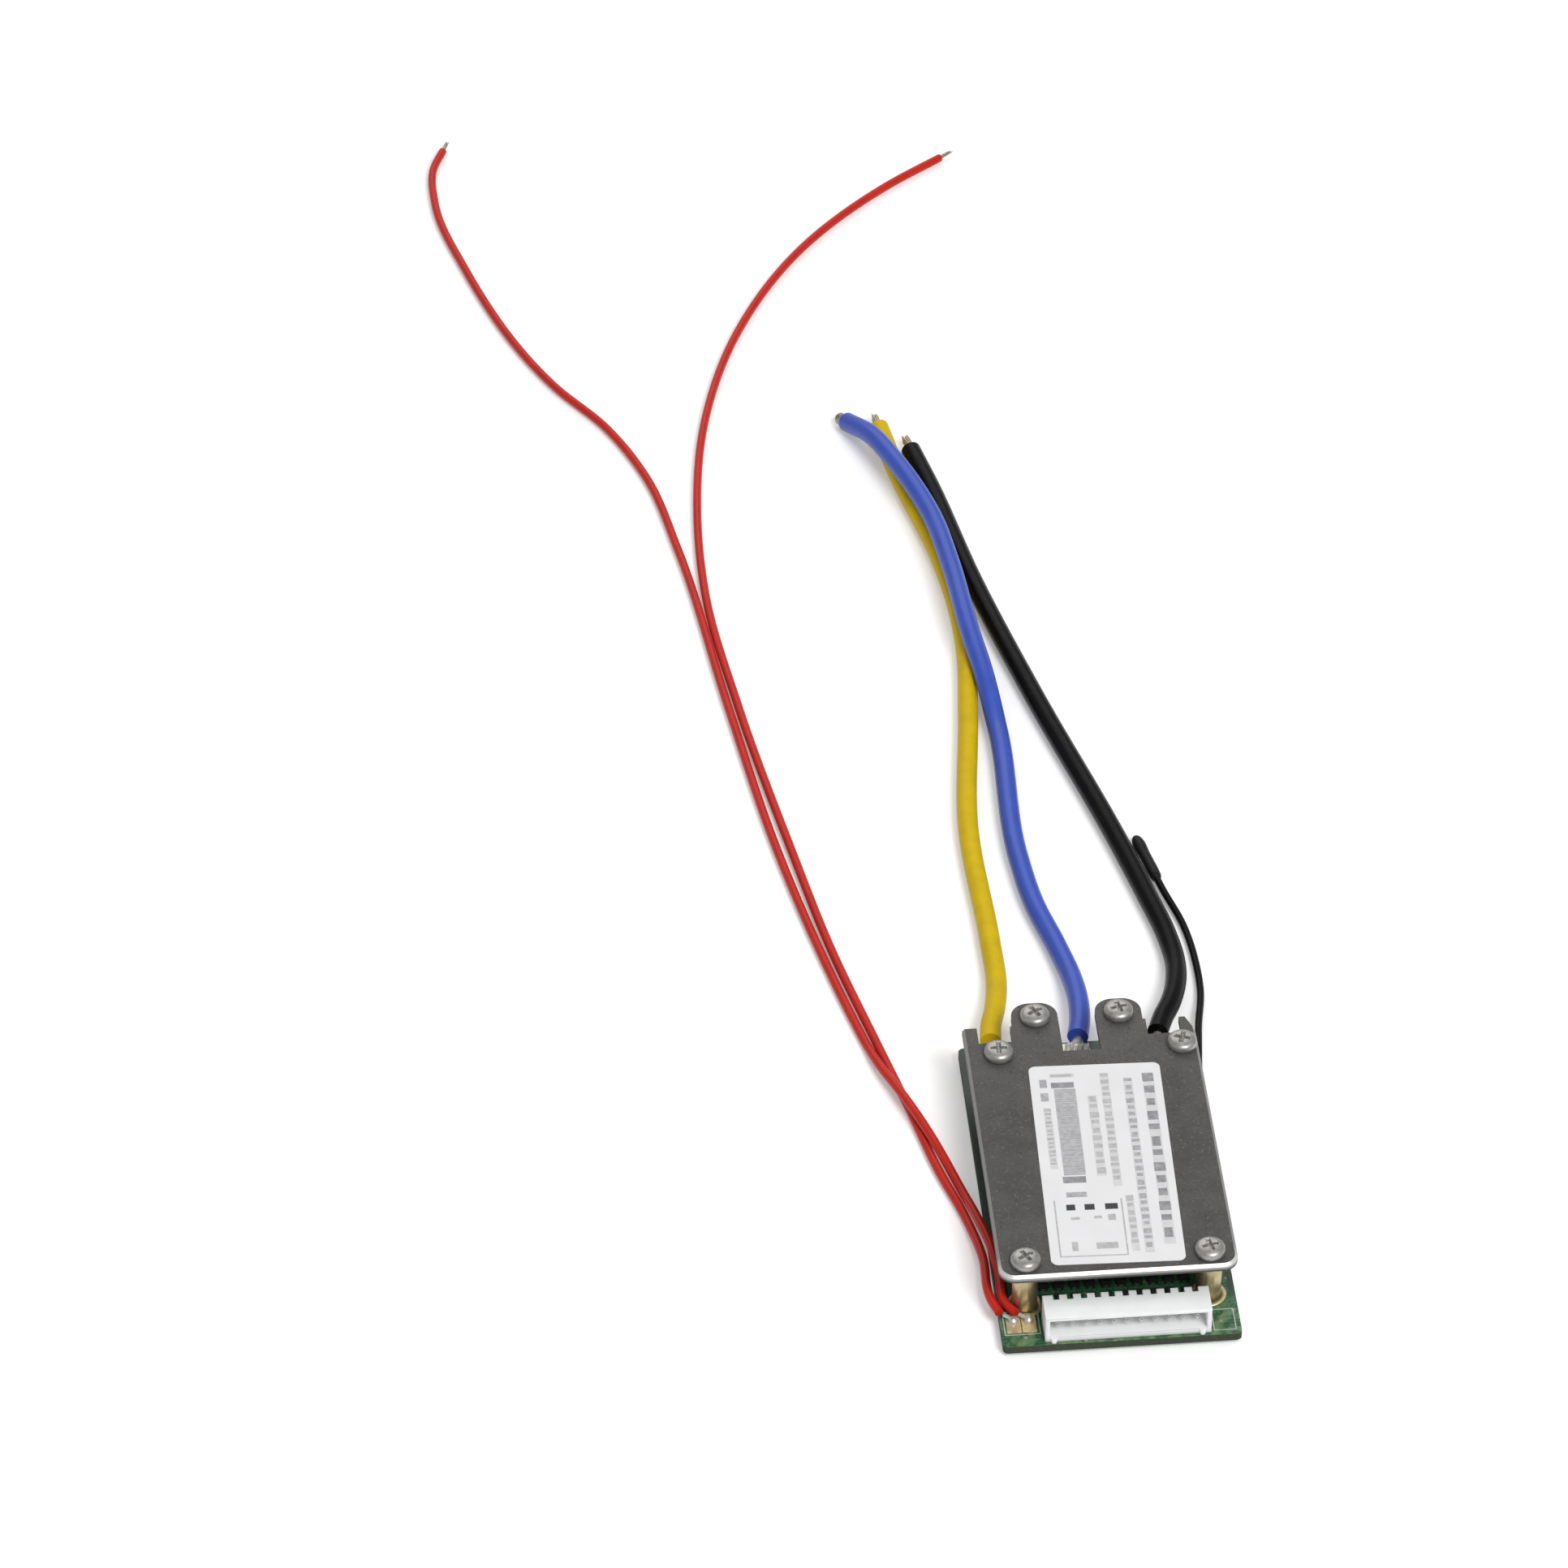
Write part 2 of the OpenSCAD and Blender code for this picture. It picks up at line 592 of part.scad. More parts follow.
module header_housing() {
    mouth_depth = header_depth - header_back;
    color("white")
        difference() {
            union() {
                translate([header_x, header_front + header_depth / 2, top_z])
                    block(header_w, header_depth, header_h);
                for (s = [-1, 1])
                    translate([header_x + s * (header_w / 2 - 1.6), header_front, top_z])
                        cylinder(r = 0.6, h = 1.1, $fn = 24);
            }
            translate([header_x, header_front + (mouth_depth - CUT) / 2, top_z + header_floor])
                block(header_w - 2 * header_wall, mouth_depth + CUT,
                    header_h - header_wall - header_floor);
            for (x = pin_x) {
                translate([x, header_rear - (comb_slot_d - CUT) / 2, pin_z - pin_side / 2 - FIT])
                    block(comb_slot_w, comb_slot_d + CUT, header_h);
                translate([x, header_rear - header_back / 2, pin_z - pin_side / 2 - FIT])
                    block(pin_side + 2 * FIT, header_back + CUT, pin_side + 2 * FIT);
            }
        }
}

// Square contacts with a stepped tip, bent down behind the housing
module header_contacts() {
    tip = 0.5;
    start = header_front + 1.1;
    color("silver")
        for (x = pin_x) {
            translate([x, (start + tip + pin_tail_y + pin_side / 2) / 2, pin_z - pin_side / 2])
                block(pin_side, pin_tail_y + pin_side / 2 - start - tip, pin_side);
            translate([x, start + tip / 2, pin_z - 0.3 * pin_side])
                block(0.6 * pin_side, tip, 0.6 * pin_side);
            translate([x, pin_tail_y, TAIL_END])
                block(pin_side, pin_side, pin_z - TAIL_END);
        }
}

// ---- Small parts on the board

module on_channels(y) {
    for (x = channel_x) translate([x, y, top_z]) children();
}

module balance_resistors() { color("darkslategray") on_channels(balance_y) chip_part(balance_w,
    balance_l, balance_t); }
module filter_capacitors() { color("tan") on_channels(cap_y) chip_part(cap_w, cap_l, cap_t); }

// Chip part with an end cap at each end that stands a little proud of the middle
module chip_part(w, l, h) {
    cap = 0.2 * l;
    lift = 0.05;
    for (s = [-1, 1]) translate([0, s * (l - cap) / 2, 0]) block(w, cap, h);
    translate([0, 0, lift]) block(w - 2 * lift, l - 1.9 * cap, h - 2 * lift);
}

// Three-legged transistor beside each balancing resistor
module balance_switches() {
    color("dimgray")
        on_channels(switch_y) {
            translate([0, 0, 0.1]) block(switch_w, switch_l, switch_t - 0.1);
            for (s = [-1, 1])
                translate([s * (switch_w / 2 - 0.3), -switch_l / 2 - 0.2, 0])
                    block(0.4, 0.6, 0.2);
            translate([0, switch_l / 2 + 0.2, 0]) block(0.4, 0.6, 0.2);
        }
}

module monitor_chip() {
    color("black")
        translate([0, chip_y, top_z + 0.1])
            difference() {
                block(chip_l, chip_w, chip_t);
                translate([-chip_l / 2 + 1, -chip_w / 2 + 1, chip_t - 0.1])
                    cylinder(r = 0.4, h = CUT, $fn = 24);
            }
}

module monitor_chip_legs() {
    pitch = (chip_l - 0.7) / (chip_legs - 1);
    color("silver")
        for (i = [0 : chip_legs - 1], s = [-1, 1])
            translate([(i - (chip_legs - 1) / 2) * pitch, chip_y, top_z])
                mirror([0, s < 0 ? 1 : 0, 0]) {
                    translate([0, chip_w / 2 + 0.2, chip_t / 2]) block(0.25, 0.4, 0.15);
                    translate([0, chip_w / 2 + 0.45, 0]) block(0.25, 0.15, chip_t / 2 + 0.15);
                    translate([0, chip_w / 2 + 0.75, 0]) block(0.25, 0.6, 0.15);
                }
}

module current_resistors() {
    color("black")
        for (i = [0 : shunt_count - 1])
            translate([(i - (shunt_count - 1) / 2) * shunt_pitch, shunt_y, top_z])
                chip_part(shunt_w, shunt_l, shunt_t);
}

// ---- Pads and soldered ends of the leads

module power_pads() {
    color("silver")
        for (x = [-outer_pad_x, 0, outer_pad_x])
            translate([x, power_pad_y, top_z]) block(power_pad, power_pad, pad_t);
}

module switch_pads() {
    color("goldenrod")
        for (x = switch_pad_x)
            translate([x, switch_pad_y, top_z]) block(switch_pad_w, switch_pad_l, pad_t);
}

// Bared strands that come out of a mound of solder and point at the end of their lead
module power_joint(pad_x, route) {
    spot = [pad_x, power_pad_y - 0.6, top_z + pad_t + 1.3];
    color("silver") {
        rod(spot, route[0], power_core_d, power_tail);
        translate([spot[0], spot[1], top_z + pad_t]) {
            cylinder(h = 1.5, r1 = 2.2, r2 = 1.9);
            translate([0, 0, 1.5]) cylinder(h = 0.9, r1 = 1.9, r2 = 1.1);
        }
    }
}

module yellow_joint() { power_joint(-outer_pad_x, YELLOW_ROUTE); }
module blue_joint() { power_joint(0, BLUE_ROUTE); }
module black_joint() { power_joint(outer_pad_x, BLACK_ROUTE); }

module switch_joint(pad_x, route) {
    spot = [pad_x, switch_pad_y + 0.5, top_z + pad_t + 0.5];
    rod(spot, route[0], switch_core_d, switch_tail);
    translate([spot[0], spot[1], top_z + pad_t]) {
        cylinder(h = 0.6, r1 = 0.37 * switch_pad_w, r2 = 0.31 * switch_pad_w);
        translate([0, 0, 0.6])
            cylinder(h = 0.35, r1 = 0.31 * switch_pad_w, r2 = 0.16 * switch_pad_w);
    }
}

module switch_joints() {
    color("goldenrod") {
        switch_joint(switch_pad_x[0], RIGHT_RED_ROUTE);
        switch_joint(switch_pad_x[1], LEFT_RED_ROUTE);
    }
}

module sensor_joint() {
    color("silver") {
        translate([sensor_pad[0], sensor_pad[1], top_z + 0.6])
            rotate([-90, 0, 0]) cylinder(d = 0.6, h = sensor_tail);
        translate([sensor_pad[0], sensor_pad[1], top_z]) {
            cylinder(h = 0.9, r1 = 1, r2 = 0.85);
            translate([0, 0, 0.9]) cylinder(h = 0.4, r1 = 0.85, r2 = 0.5);
        }
    }
}

// ---- Free leads and their bared ends

module yellow_lead() { color("gold") tube(YELLOW_ROUTE, power_d); }
module yellow_strands() { color("silver") bare_end(YELLOW_ROUTE, power_core_d, power_bare); }
module blue_lead() { color("royalblue") tube(BLUE_ROUTE, power_d); }
module blue_strands() { color("silver") bare_end(BLUE_ROUTE, power_core_d, power_bare); }
module black_lead() { color("black") tube(BLACK_ROUTE, power_d); }
module black_strands() { color("silver") bare_end(BLACK_ROUTE, power_core_d, power_bare); }
module left_red_lead() { color("red") tube(LEFT_RED_ROUTE, switch_lead_d); }
module left_red_strands() { color("silver") bare_end(LEFT_RED_ROUTE, switch_core_d, switch_bare); }
module right_red_lead() { color("red") tube(RIGHT_RED_ROUTE, switch_lead_d); }
module right_red_strands() { color("silver") bare_end(RIGHT_RED_ROUTE, switch_core_d, switch_bare); }
module sensor_lead() { color("black") tube(SENSOR_ROUTE, sensor_d); }

// Shrink sleeve over the thermistor bead, with a rounded closed end
module sensor_sleeve() {
    r = sleeve_d / 2;
    way = heading(SENSOR_ROUTE, len(SENSOR_ROUTE) - 1);
    color("black")
        translate(last(SENSOR_ROUTE) + 0.02 * way)
            rotate([0, acos(way[2]), atan2(way[1], way[0])])
                rotate_extrude($fn = 24)
                    polygon(concat([[0, 0], [r - 0.3, 0], [r, 0.6]],
                        [for (a = [0 : 18 : 90]) [r * cos(a), sleeve_l - r + r * sin(a)]]));
}

circuit_board();
heat_plate();
label();
corner_screws();
lug_screws();
corner_pillars();
lug_pillars();
charge_transistors();
charge_tabs();
charge_legs();
discharge_transistors();
discharge_tabs();
discharge_legs();
front_thermal_pad();
rear_thermal_pad();
header_housing();
header_contacts();
header_solder();
leg_solder();
balance_resistors();
balance_switches();
filter_capacitors();
monitor_chip();
monitor_chip_legs();
current_resistors();
power_pads();
switch_pads();
yellow_joint();
blue_joint();
black_joint();
switch_joints();
sensor_joint();
yellow_lead();
yellow_strands();
blue_lead();
blue_strands();
black_lead();
black_strands();
left_red_lead();
left_red_strands();
right_red_lead();
right_red_strands();
sensor_lead();
sensor_sleeve();
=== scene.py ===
"""Battery management board: looks, leads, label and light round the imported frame."""
import math
import bmesh
import bpy
import numpy as np
from mathutils import Matrix, Vector


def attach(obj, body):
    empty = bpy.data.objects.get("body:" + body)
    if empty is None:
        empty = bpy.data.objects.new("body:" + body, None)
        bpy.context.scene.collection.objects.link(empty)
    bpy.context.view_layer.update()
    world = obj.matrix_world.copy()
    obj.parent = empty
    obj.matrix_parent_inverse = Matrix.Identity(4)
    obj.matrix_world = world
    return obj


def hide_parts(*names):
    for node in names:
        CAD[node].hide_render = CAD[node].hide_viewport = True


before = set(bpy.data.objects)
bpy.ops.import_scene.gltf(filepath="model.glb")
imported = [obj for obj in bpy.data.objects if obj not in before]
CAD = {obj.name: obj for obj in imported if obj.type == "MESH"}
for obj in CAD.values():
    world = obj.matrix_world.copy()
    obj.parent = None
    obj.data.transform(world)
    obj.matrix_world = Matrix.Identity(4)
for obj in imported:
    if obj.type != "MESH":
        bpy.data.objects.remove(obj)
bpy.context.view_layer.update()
scene = bpy.context.scene
MM = 0.001

# ---- Camera

FORWARD = Vector((0.06484, 0.75688, -0.65033)).normalized()
RIGHT = Vector((0.99635, -0.08535, 0.0)).normalized()
UP = RIGHT.cross(FORWARD)
EYE = Vector((-0.14116, -0.97781, 0.94381))

camera_data = bpy.data.cameras.new("camera")
camera_data.sensor_fit = "HORIZONTAL"
camera_data.sensor_width = 36.0
camera_data.lens = 171.26
camera_data.clip_start = 0.05
camera_data.clip_end = 20.0
camera = bpy.data.objects.new("camera", camera_data)
scene.collection.objects.link(camera)
camera.matrix_world = Matrix.Translation(EYE) @ Matrix((RIGHT, UP, -FORWARD)).transposed().to_4x4()
scene.camera = camera


# ---- Meshes and curves

def link(name, data):
    """A new object at the origin, in the scene."""
    obj = bpy.data.objects.new(name, data)
    scene.collection.objects.link(obj)
    return obj


def surface(points, ring=False, caps=False):
    """A grid of points, rows x columns x 3, with its blocks of faces. Each quad joins point (i, k) to
    (i, k + 1), (i + 1, k + 1) and (i + 1, k). A ring joins the last column to the first, and caps
    close the first and the last row."""
    rows, cols = points.shape[:2]
    i = np.arange(rows - 1)[:, None] * cols
    k = np.arange(cols if ring else cols - 1)[None, :]
    a, b = i + k, i + (k + 1) % cols
    blocks = [np.stack((a, b, b + cols, a + cols), axis=-1).reshape(-1, 4)]
    if caps:
        blocks.append(np.arange(cols)[None, ::-1])
        blocks.append(np.arange((rows - 1) * cols, rows * cols)[None, :])
    return points.reshape(-1, 3), blocks


def merged(name, pieces, smooth=True, closed=True):
    """One mesh from a list of (points in metres, blocks of faces). Closed shells get their faces
    turned outwards."""
    starts = np.cumsum([0] + [len(points) for points, _ in pieces])
    faces = []
    for start, (_, blocks) in zip(starts, pieces):
        for block in blocks:
            faces += (block + start).tolist()
    mesh = bpy.data.meshes.new(name)
    mesh.from_pydata(np.concatenate([points for points, _ in pieces]).tolist(), [], faces)
    if closed:
        turned_out = bmesh.new()
        turned_out.from_mesh(mesh)
        bmesh.ops.recalc_face_normals(turned_out, faces=turned_out.faces)
        turned_out.to_mesh(mesh)
        turned_out.free()
    mesh.polygons.foreach_set("use_smooth", [smooth] * len(mesh.polygons))
    mesh.update()
    return link(name, mesh)


def dressed(obj, material, *nodes):
    """Gives a new piece its material and its body, and hides the CAD nodes that it stands for."""
    obj.data.materials.append(material)
    if nodes:
        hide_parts(*nodes)
    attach(obj, "root")
    return obj


def lathe(profile, centre, sides=48):
    """A profile of (radius, height) in millimetres turned about the vertical line through centre:
    point = centre + (r cos a, r sin a, z)."""
    r, z = np.array(profile, dtype=float).T[:, :, None]
    a = np.linspace(0.0, 2 * math.pi, sides, endpoint=False)[None, :]
    points = np.stack(np.broadcast_arrays(r * np.cos(a), r * np.sin(a), z), axis=-1)
    return surface((points + np.array(centre)) * MM, ring=True, caps=True)


def tube(line, radius, sides=12):
    """A round section carried along a line in metres: point = line + radius (cos a across + sin a
    up), where across is level and up is square to it and to the line."""
    line = np.asarray(line, dtype=float)
    along = np.gradient(line, axis=0)
    along /= np.linalg.norm(along, axis=1)[:, None]
    across = np.cross(along, (0.0, 0.0, 1.0))
    across /= np.linalg.norm(across, axis=1)[:, None]
    up = np.cross(across, along)
    a = np.linspace(0.0, 2 * math.pi, sides, endpoint=False)[None, :, None]
    r = np.broadcast_to(np.asarray(radius, dtype=float), (len(line),))[:, None, None]
    points = line[:, None] + r * (np.cos(a) * across[:, None] + np.sin(a) * up[:, None])
    return surface(points, ring=True, caps=True)


def spline(points, step=0.7):
    """A smooth line through the points: cubic Hermite between neighbours, with each tangent the
    mean of the slopes on its two sides, weighted by the other side's chord."""
    p = np.array(points, dtype=float)
    chord = np.linalg.norm(np.diff(p, axis=0), axis=1)
    slope = np.diff(p, axis=0) / chord[:, None]
    before, after = chord[:-1, None], chord[1:, None]
    inner = (slope[:-1] * after + slope[1:] * before) / (before + after)
    tangent = np.concatenate((slope[:1], inner, slope[-1:]))
    stretches = []
    for i, d in enumerate(chord):
        t = np.linspace(0.0, 1.0, max(2, round(d / step)), endpoint=False)[:, None]
        stretches.append((2 * t ** 3 - 3 * t ** 2 + 1) * p[i] + (t ** 3 - 2 * t ** 2 + t) * d * tangent[i]
                         + (3 * t ** 2 - 2 * t ** 3) * p[i + 1] + (t ** 3 - t ** 2) * d * tangent[i + 1])
    return np.concatenate(stretches + [p[-1:]])


def tube_curve(name, line, radius):
    """A lead: one open spline along the line, in metres, with a round section."""
    data = bpy.data.curves.new(name, "CURVE")
    data.dimensions = "3D"
    data.bevel_depth = radius
    data.bevel_resolution = 6
    data.use_fill_caps = True
    s = data.splines.new("POLY")
    s.points.add(len(line) - 1)
    s.points.foreach_set("co", np.column_stack((line, np.ones(len(line)))).ravel())
    s.use_smooth = True
    return link(name, data)


def softened(name, node, width):
    """A copy of a CAD node with its corners welded, its flat triangles joined and its sharp edges
    rounded by width millimetres."""
    copy = bmesh.new()
    copy.from_mesh(CAD[node].data)
    bmesh.ops.remove_doubles(copy, verts=copy.verts, dist=1e-6)
    bmesh.ops.dissolve_limit(copy, angle_limit=math.radians(0.5), verts=copy.verts, edges=copy.edges)
    bmesh.ops.recalc_face_normals(copy, faces=copy.faces)
    mesh = bpy.data.meshes.new(name)
    copy.to_mesh(mesh)
    copy.free()
    mesh.polygons.foreach_set("use_smooth", [True] * len(mesh.polygons))
    obj = link(name, mesh)
    rounding = obj.modifiers.new("rounding", "BEVEL")
    rounding.width = width * MM
    rounding.segments = 2
    rounding.limit_method = "ANGLE"
    rounding.angle_limit = math.radians(40)
    rounding.harden_normals = True
    return obj


# ---- Materials

class Recipe:
    """A small helper that lays out the nodes of one procedural material, in millimetres."""

    def __init__(self, name):
        self.material = bpy.data.materials.new(name)
        self.material.use_nodes = True
        self.tree = self.material.node_tree
        self.shader = self.tree.nodes["Principled BSDF"]
        self.coords = self.node("ShaderNodeTexCoord")
        self.place = self.node("ShaderNodeVectorMath", operation="SCALE")
        self.tree.links.new(self.coords.outputs["Object"], self.place.inputs[0])
        self.place.inputs["Scale"].default_value = 1.0 / MM
        self.xyz = self.node("ShaderNodeSeparateXYZ")
        self.tree.links.new(self.place.outputs[0], self.xyz.inputs[0])
        self.relief = None

    def node(self, kind, **settings):
        """A new node of a kind, with its settings."""
        made = self.tree.nodes.new(kind)
        for key, value in settings.items():
            setattr(made, key, value)
        return made

    def put(self, value, socket):
        """A number, colour or socket goes into an input."""
        if isinstance(value, bpy.types.NodeSocket):
            self.tree.links.new(value, socket)
        elif isinstance(value, (tuple, list)) and len(value) == 3 and len(socket.default_value) == 4:
            socket.default_value = (*value, 1.0)
        else:
            socket.default_value = value

    def maths(self, operation, *values):
        """The result of one sum on numbers or sockets."""
        made = self.node("ShaderNodeMath", operation=operation)
        for i, value in enumerate(values):
            self.put(value, made.inputs[i])
        return made.outputs[0]

    def noise(self, size, detail=3.0, rough=0.55, stretch=None):
        """Soft noise with patches about size mm across."""
        made = self.node("ShaderNodeTexNoise")
        made.inputs["Scale"].default_value = 1.0 / size
        made.inputs["Detail"].default_value = detail
        made.inputs["Roughness"].default_value = rough
        source = self.place.outputs[0]
        if stretch:
            mapping = self.node("ShaderNodeVectorMath", operation="MULTIPLY")
            self.tree.links.new(source, mapping.inputs[0])
            mapping.inputs[1].default_value = stretch
            source = mapping.outputs[0]
        self.tree.links.new(source, made.inputs["Vector"])
        return made.outputs["Fac"]

    def spread(self, value, low, high, to_low=0.0, to_high=1.0):
        """Stretches a range of a value to another range, clamped."""
        made = self.node("ShaderNodeMapRange")
        self.put(value, made.inputs["Value"])
        ends = (("From Min", low), ("From Max", high), ("To Min", to_low), ("To Max", to_high))
        for key, number in ends:
            made.inputs[key].default_value = number
        return made.outputs["Result"]

    def blend(self, factor, first, second):
        """A colour between first and second."""
        made = self.node("ShaderNodeMix", data_type="RGBA")
        self.put(factor, made.inputs["Factor"])
        self.put(first, made.inputs[6])
        self.put(second, made.inputs[7])
        return made.outputs[2]

    def facing_up(self):
        """How far a face points up, from -1 to 1."""
        split = self.node("ShaderNodeSeparateXYZ")
        self.tree.links.new(self.coords.outputs["Normal"], split.inputs[0])
        return split.outputs["Z"]

    def bump(self, height, depth):
        """Adds surface relief: height 0 to 1 stands for depth millimetres."""
        made = self.node("ShaderNodeBump")
        made.inputs["Distance"].default_value = depth * MM
        self.put(height, made.inputs["Height"])
        if self.relief is not None:
            self.tree.links.new(self.relief, made.inputs["Normal"])
        self.relief = made.outputs["Normal"]

    def finish(self, colour, rough, metal=0.0, **more):
        """Fills in the shader; more holds other inputs by name, with _ for a space."""
        self.put(colour, self.shader.inputs["Base Color"])
        self.put(rough, self.shader.inputs["Roughness"])
        self.put(metal, self.shader.inputs["Metallic"])
        for key, value in more.items():
            self.put(value, self.shader.inputs[key.replace("_", " ")])
        if self.relief is not None:
            self.tree.links.new(self.relief, self.shader.inputs["Normal"])
        return self.material


PATCHY = (0.3, 0.7)


def shades(colour, vary):
    """A darker and a lighter version of a colour, each a share vary away from it."""
    return tuple(c * (1.0 - vary) for c in colour), tuple(min(1.0, c * (1.0 + vary)) for c in colour)


def plain(name, colour, rough, metal=0.0, vary=0.12, size=2.0, depth=0.01, grain=0.25):
    """A finish with soft patches of tone and a fine grain."""
    m = Recipe(name)
    patches = m.spread(m.noise(size), *PATCHY)
    tone = m.blend(patches, *shades(colour, vary))
    m.bump(m.noise(grain, detail=2.0), depth)
    return m.finish(tone, m.spread(patches, 0.0, 1.0, rough * 0.9, rough * 1.1), metal)


def blasted_plate():
    """Dark blasted aluminium; faces that slope, which are the bevels, are cut bright, with a painted
    highlight on them that grows towards the front, and a painted highlight on the upper part of the side
    faces near the front.
    """
    cloud_dark = (0.064, 0.061, 0.056)
    cloud_light = (0.096, 0.092, 0.085)
    rear_tone = (0.125, 0.120, 0.112)
    light_fleck = (0.24, 0.23, 0.22)
    dark_fleck = (0.030, 0.029, 0.026)
    cut_and_highlight_tone = (0.74, 0.73, 0.715)
    bevel_up = 0.7071
    m = Recipe("blasted aluminium")
    fine = m.noise(0.3, detail=4.0, rough=0.7)
    cloud = m.spread(m.noise(6.0, detail=4.0), *PATCHY)
    light_speck = m.spread(m.noise(0.45, detail=2.0), 0.60, 0.72, 0.0, 0.45)
    dark_speck = m.spread(m.noise(0.62, detail=2.0, stretch=(1.1, 0.9, 1.3)), 0.58, 0.72, 0.0, 0.55)
    tone = m.blend(cloud, cloud_dark, cloud_light)
    to_rear = m.spread(m.xyz.outputs["Y"], 8.0, 36.0, 0.0, 0.5)
    tone = m.blend(to_rear, tone, rear_tone)
    tone = m.blend(light_speck, tone, light_fleck)
    tone = m.blend(dark_speck, tone, dark_fleck)
    up = m.facing_up()
    bevel = m.maths("LESS_THAN", m.maths("ABSOLUTE", m.maths("SUBTRACT", up, bevel_up)), 0.2)
    side = m.maths("LESS_THAN", m.maths("ABSOLUTE", up), 0.3)
    upper = m.spread(m.xyz.outputs["Z"], 11.6, 12.0)
    # painted highlight: bevels keep a little cut brightness everywhere and get lit brighter towards the front
    # edge, and the upper side faces near the front are painted bright
    front_highlight_ramp = m.spread(m.xyz.outputs["Y"], -31.0, -27.0, 1.0, 0.0)
    front_face_highlight = m.maths("MULTIPLY", m.maths("MULTIPLY", side, upper), m.maths("MULTIPLY", front_highlight_ramp, 0.5))
    rim = m.maths("MULTIPLY", bevel, m.maths("ADD", m.maths("MULTIPLY", front_highlight_ramp, 0.7), 0.3))
    cut_and_highlight = m.maths("MAXIMUM", rim, front_face_highlight)
    m.bump(fine, 0.05)
    return m.finish(m.blend(cut_and_highlight, tone, cut_and_highlight_tone), m.spread(cut_and_highlight, 0.0, 1.0, 0.6, 0.42),
                    m.spread(cut_and_highlight, 0.0, 1.0, 0.35, 0.6))


BOARD_HALF = 21.5


def board_mask():
    """Green solder mask over tracks, with small plated holes, paler patches that are strongest on the strip
    beside the header, painted shade along the two long sides behind the front strip, and bare laminate on the
    sawn edges."""
    track = (0.040, 0.130, 0.058)
    between = (0.020, 0.078, 0.036)
    worn = (0.085, 0.21, 0.10)
    front_pale_tone = (0.17, 0.27, 0.13)
    plated = (0.34, 0.33, 0.22)
    weave_dark = (0.020, 0.028, 0.018)
    weave_light = (0.048, 0.060, 0.036)
    painted_side_shade = (0.022, 0.042, 0.026)
    m = Recipe("solder mask")
    bricks = m.node("ShaderNodeTexBrick", offset=0.37, squash=0.6)
    bricks.inputs["Scale"].default_value = 0.32
    bricks.inputs["Mortar Size"].default_value = 0.05
    m.tree.links.new(m.place.outputs[0], bricks.inputs["Vector"])
    gaps = bricks.outputs["Fac"]
    holes = m.node("ShaderNodeTexVoronoi")
    holes.inputs["Scale"].default_value = 0.42
    m.tree.links.new(m.place.outputs[0], holes.inputs["Vector"])
    hole = m.maths("LESS_THAN", holes.outputs["Distance"], 0.17)
    patch = m.spread(m.noise(2.2), 0.42, 0.66)
    front = m.spread(m.xyz.outputs["Y"], -33.0, -29.5, 1.0, 0.0)
    colour = m.blend(gaps, track, between)
    colour = m.blend(m.maths("MULTIPLY", patch, 0.35), colour, worn)
    # paler patches, strongest towards the front edge of the board
    colour = m.blend(m.maths("MULTIPLY", patch, front), colour, front_pale_tone)
    colour = m.blend(m.maths("MULTIPLY", hole, 0.8), colour, plated)
    edge = m.maths("LESS_THAN", m.maths("ABSOLUTE", m.facing_up()), 0.5)
    weave = m.spread(m.noise(0.3, stretch=(1.0, 1.0, 6.0)), 0.4, 0.6)
    sawn = m.blend(weave, weave_dark, weave_light)
    # painted shade: the mask is darkened along both long edges behind the front strip, where the plate shades
    # the board
    side_shade_mask = m.spread(m.maths("ABSOLUTE", m.xyz.outputs["X"]), BOARD_HALF - 1.3, BOARD_HALF - 1.0)
    behind = m.spread(m.xyz.outputs["Y"], -31.0, -28.0)
    colour = m.blend(m.maths("MULTIPLY", side_shade_mask, behind), colour, painted_side_shade)
    m.bump(m.maths("SUBTRACT", 1.0, gaps), 0.03)
    m.bump(m.maths("SUBTRACT", 1.0, hole), 0.05)
    return m.finish(m.blend(edge, colour, sawn), m.spread(edge, 0.0, 1.0, 0.34, 0.8), 0.0,
                    Specular_IOR_Level=0.4)


def insulation(name, colour, rough, vary=0.08, gloss=0.3):
    """Extruded insulation: soft tone changes and a faint waviness of the skin."""
    m = Recipe(name)
    dust_tone = (0.5, 0.5, 0.5)
    patches = m.spread(m.noise(4.0), *PATCHY)
    dust = m.spread(m.noise(0.6, detail=2.0), 0.6, 0.8, 0.0, 0.02)
    tone = m.blend(dust, m.blend(patches, *shades(colour, vary)), dust_tone)
    m.bump(m.noise(2.4, detail=1.0), 0.04)
    m.bump(m.noise(0.4, detail=2.0), 0.002)
    return m.finish(tone, m.spread(patches, 0.0, 1.0, rough * 0.9, rough * 1.12), 0.0,
                    Specular_IOR_Level=gloss)


def nylon():
    """Natural nylon: lets a little light in, and its skin is faintly rippled."""
    m = Recipe("natural nylon")
    m.bump(m.noise(0.5, detail=2.0), 0.01)
    tone = m.blend(m.spread(m.noise(3.0), *PATCHY), (0.78, 0.79, 0.79), (0.83, 0.84, 0.84))
    return m.finish(tone, 0.36, 0.0, Subsurface_Weight=0.4, Subsurface_Radius=(0.0015, 0.0015, 0.0015),
                    Subsurface_Scale=1.0)


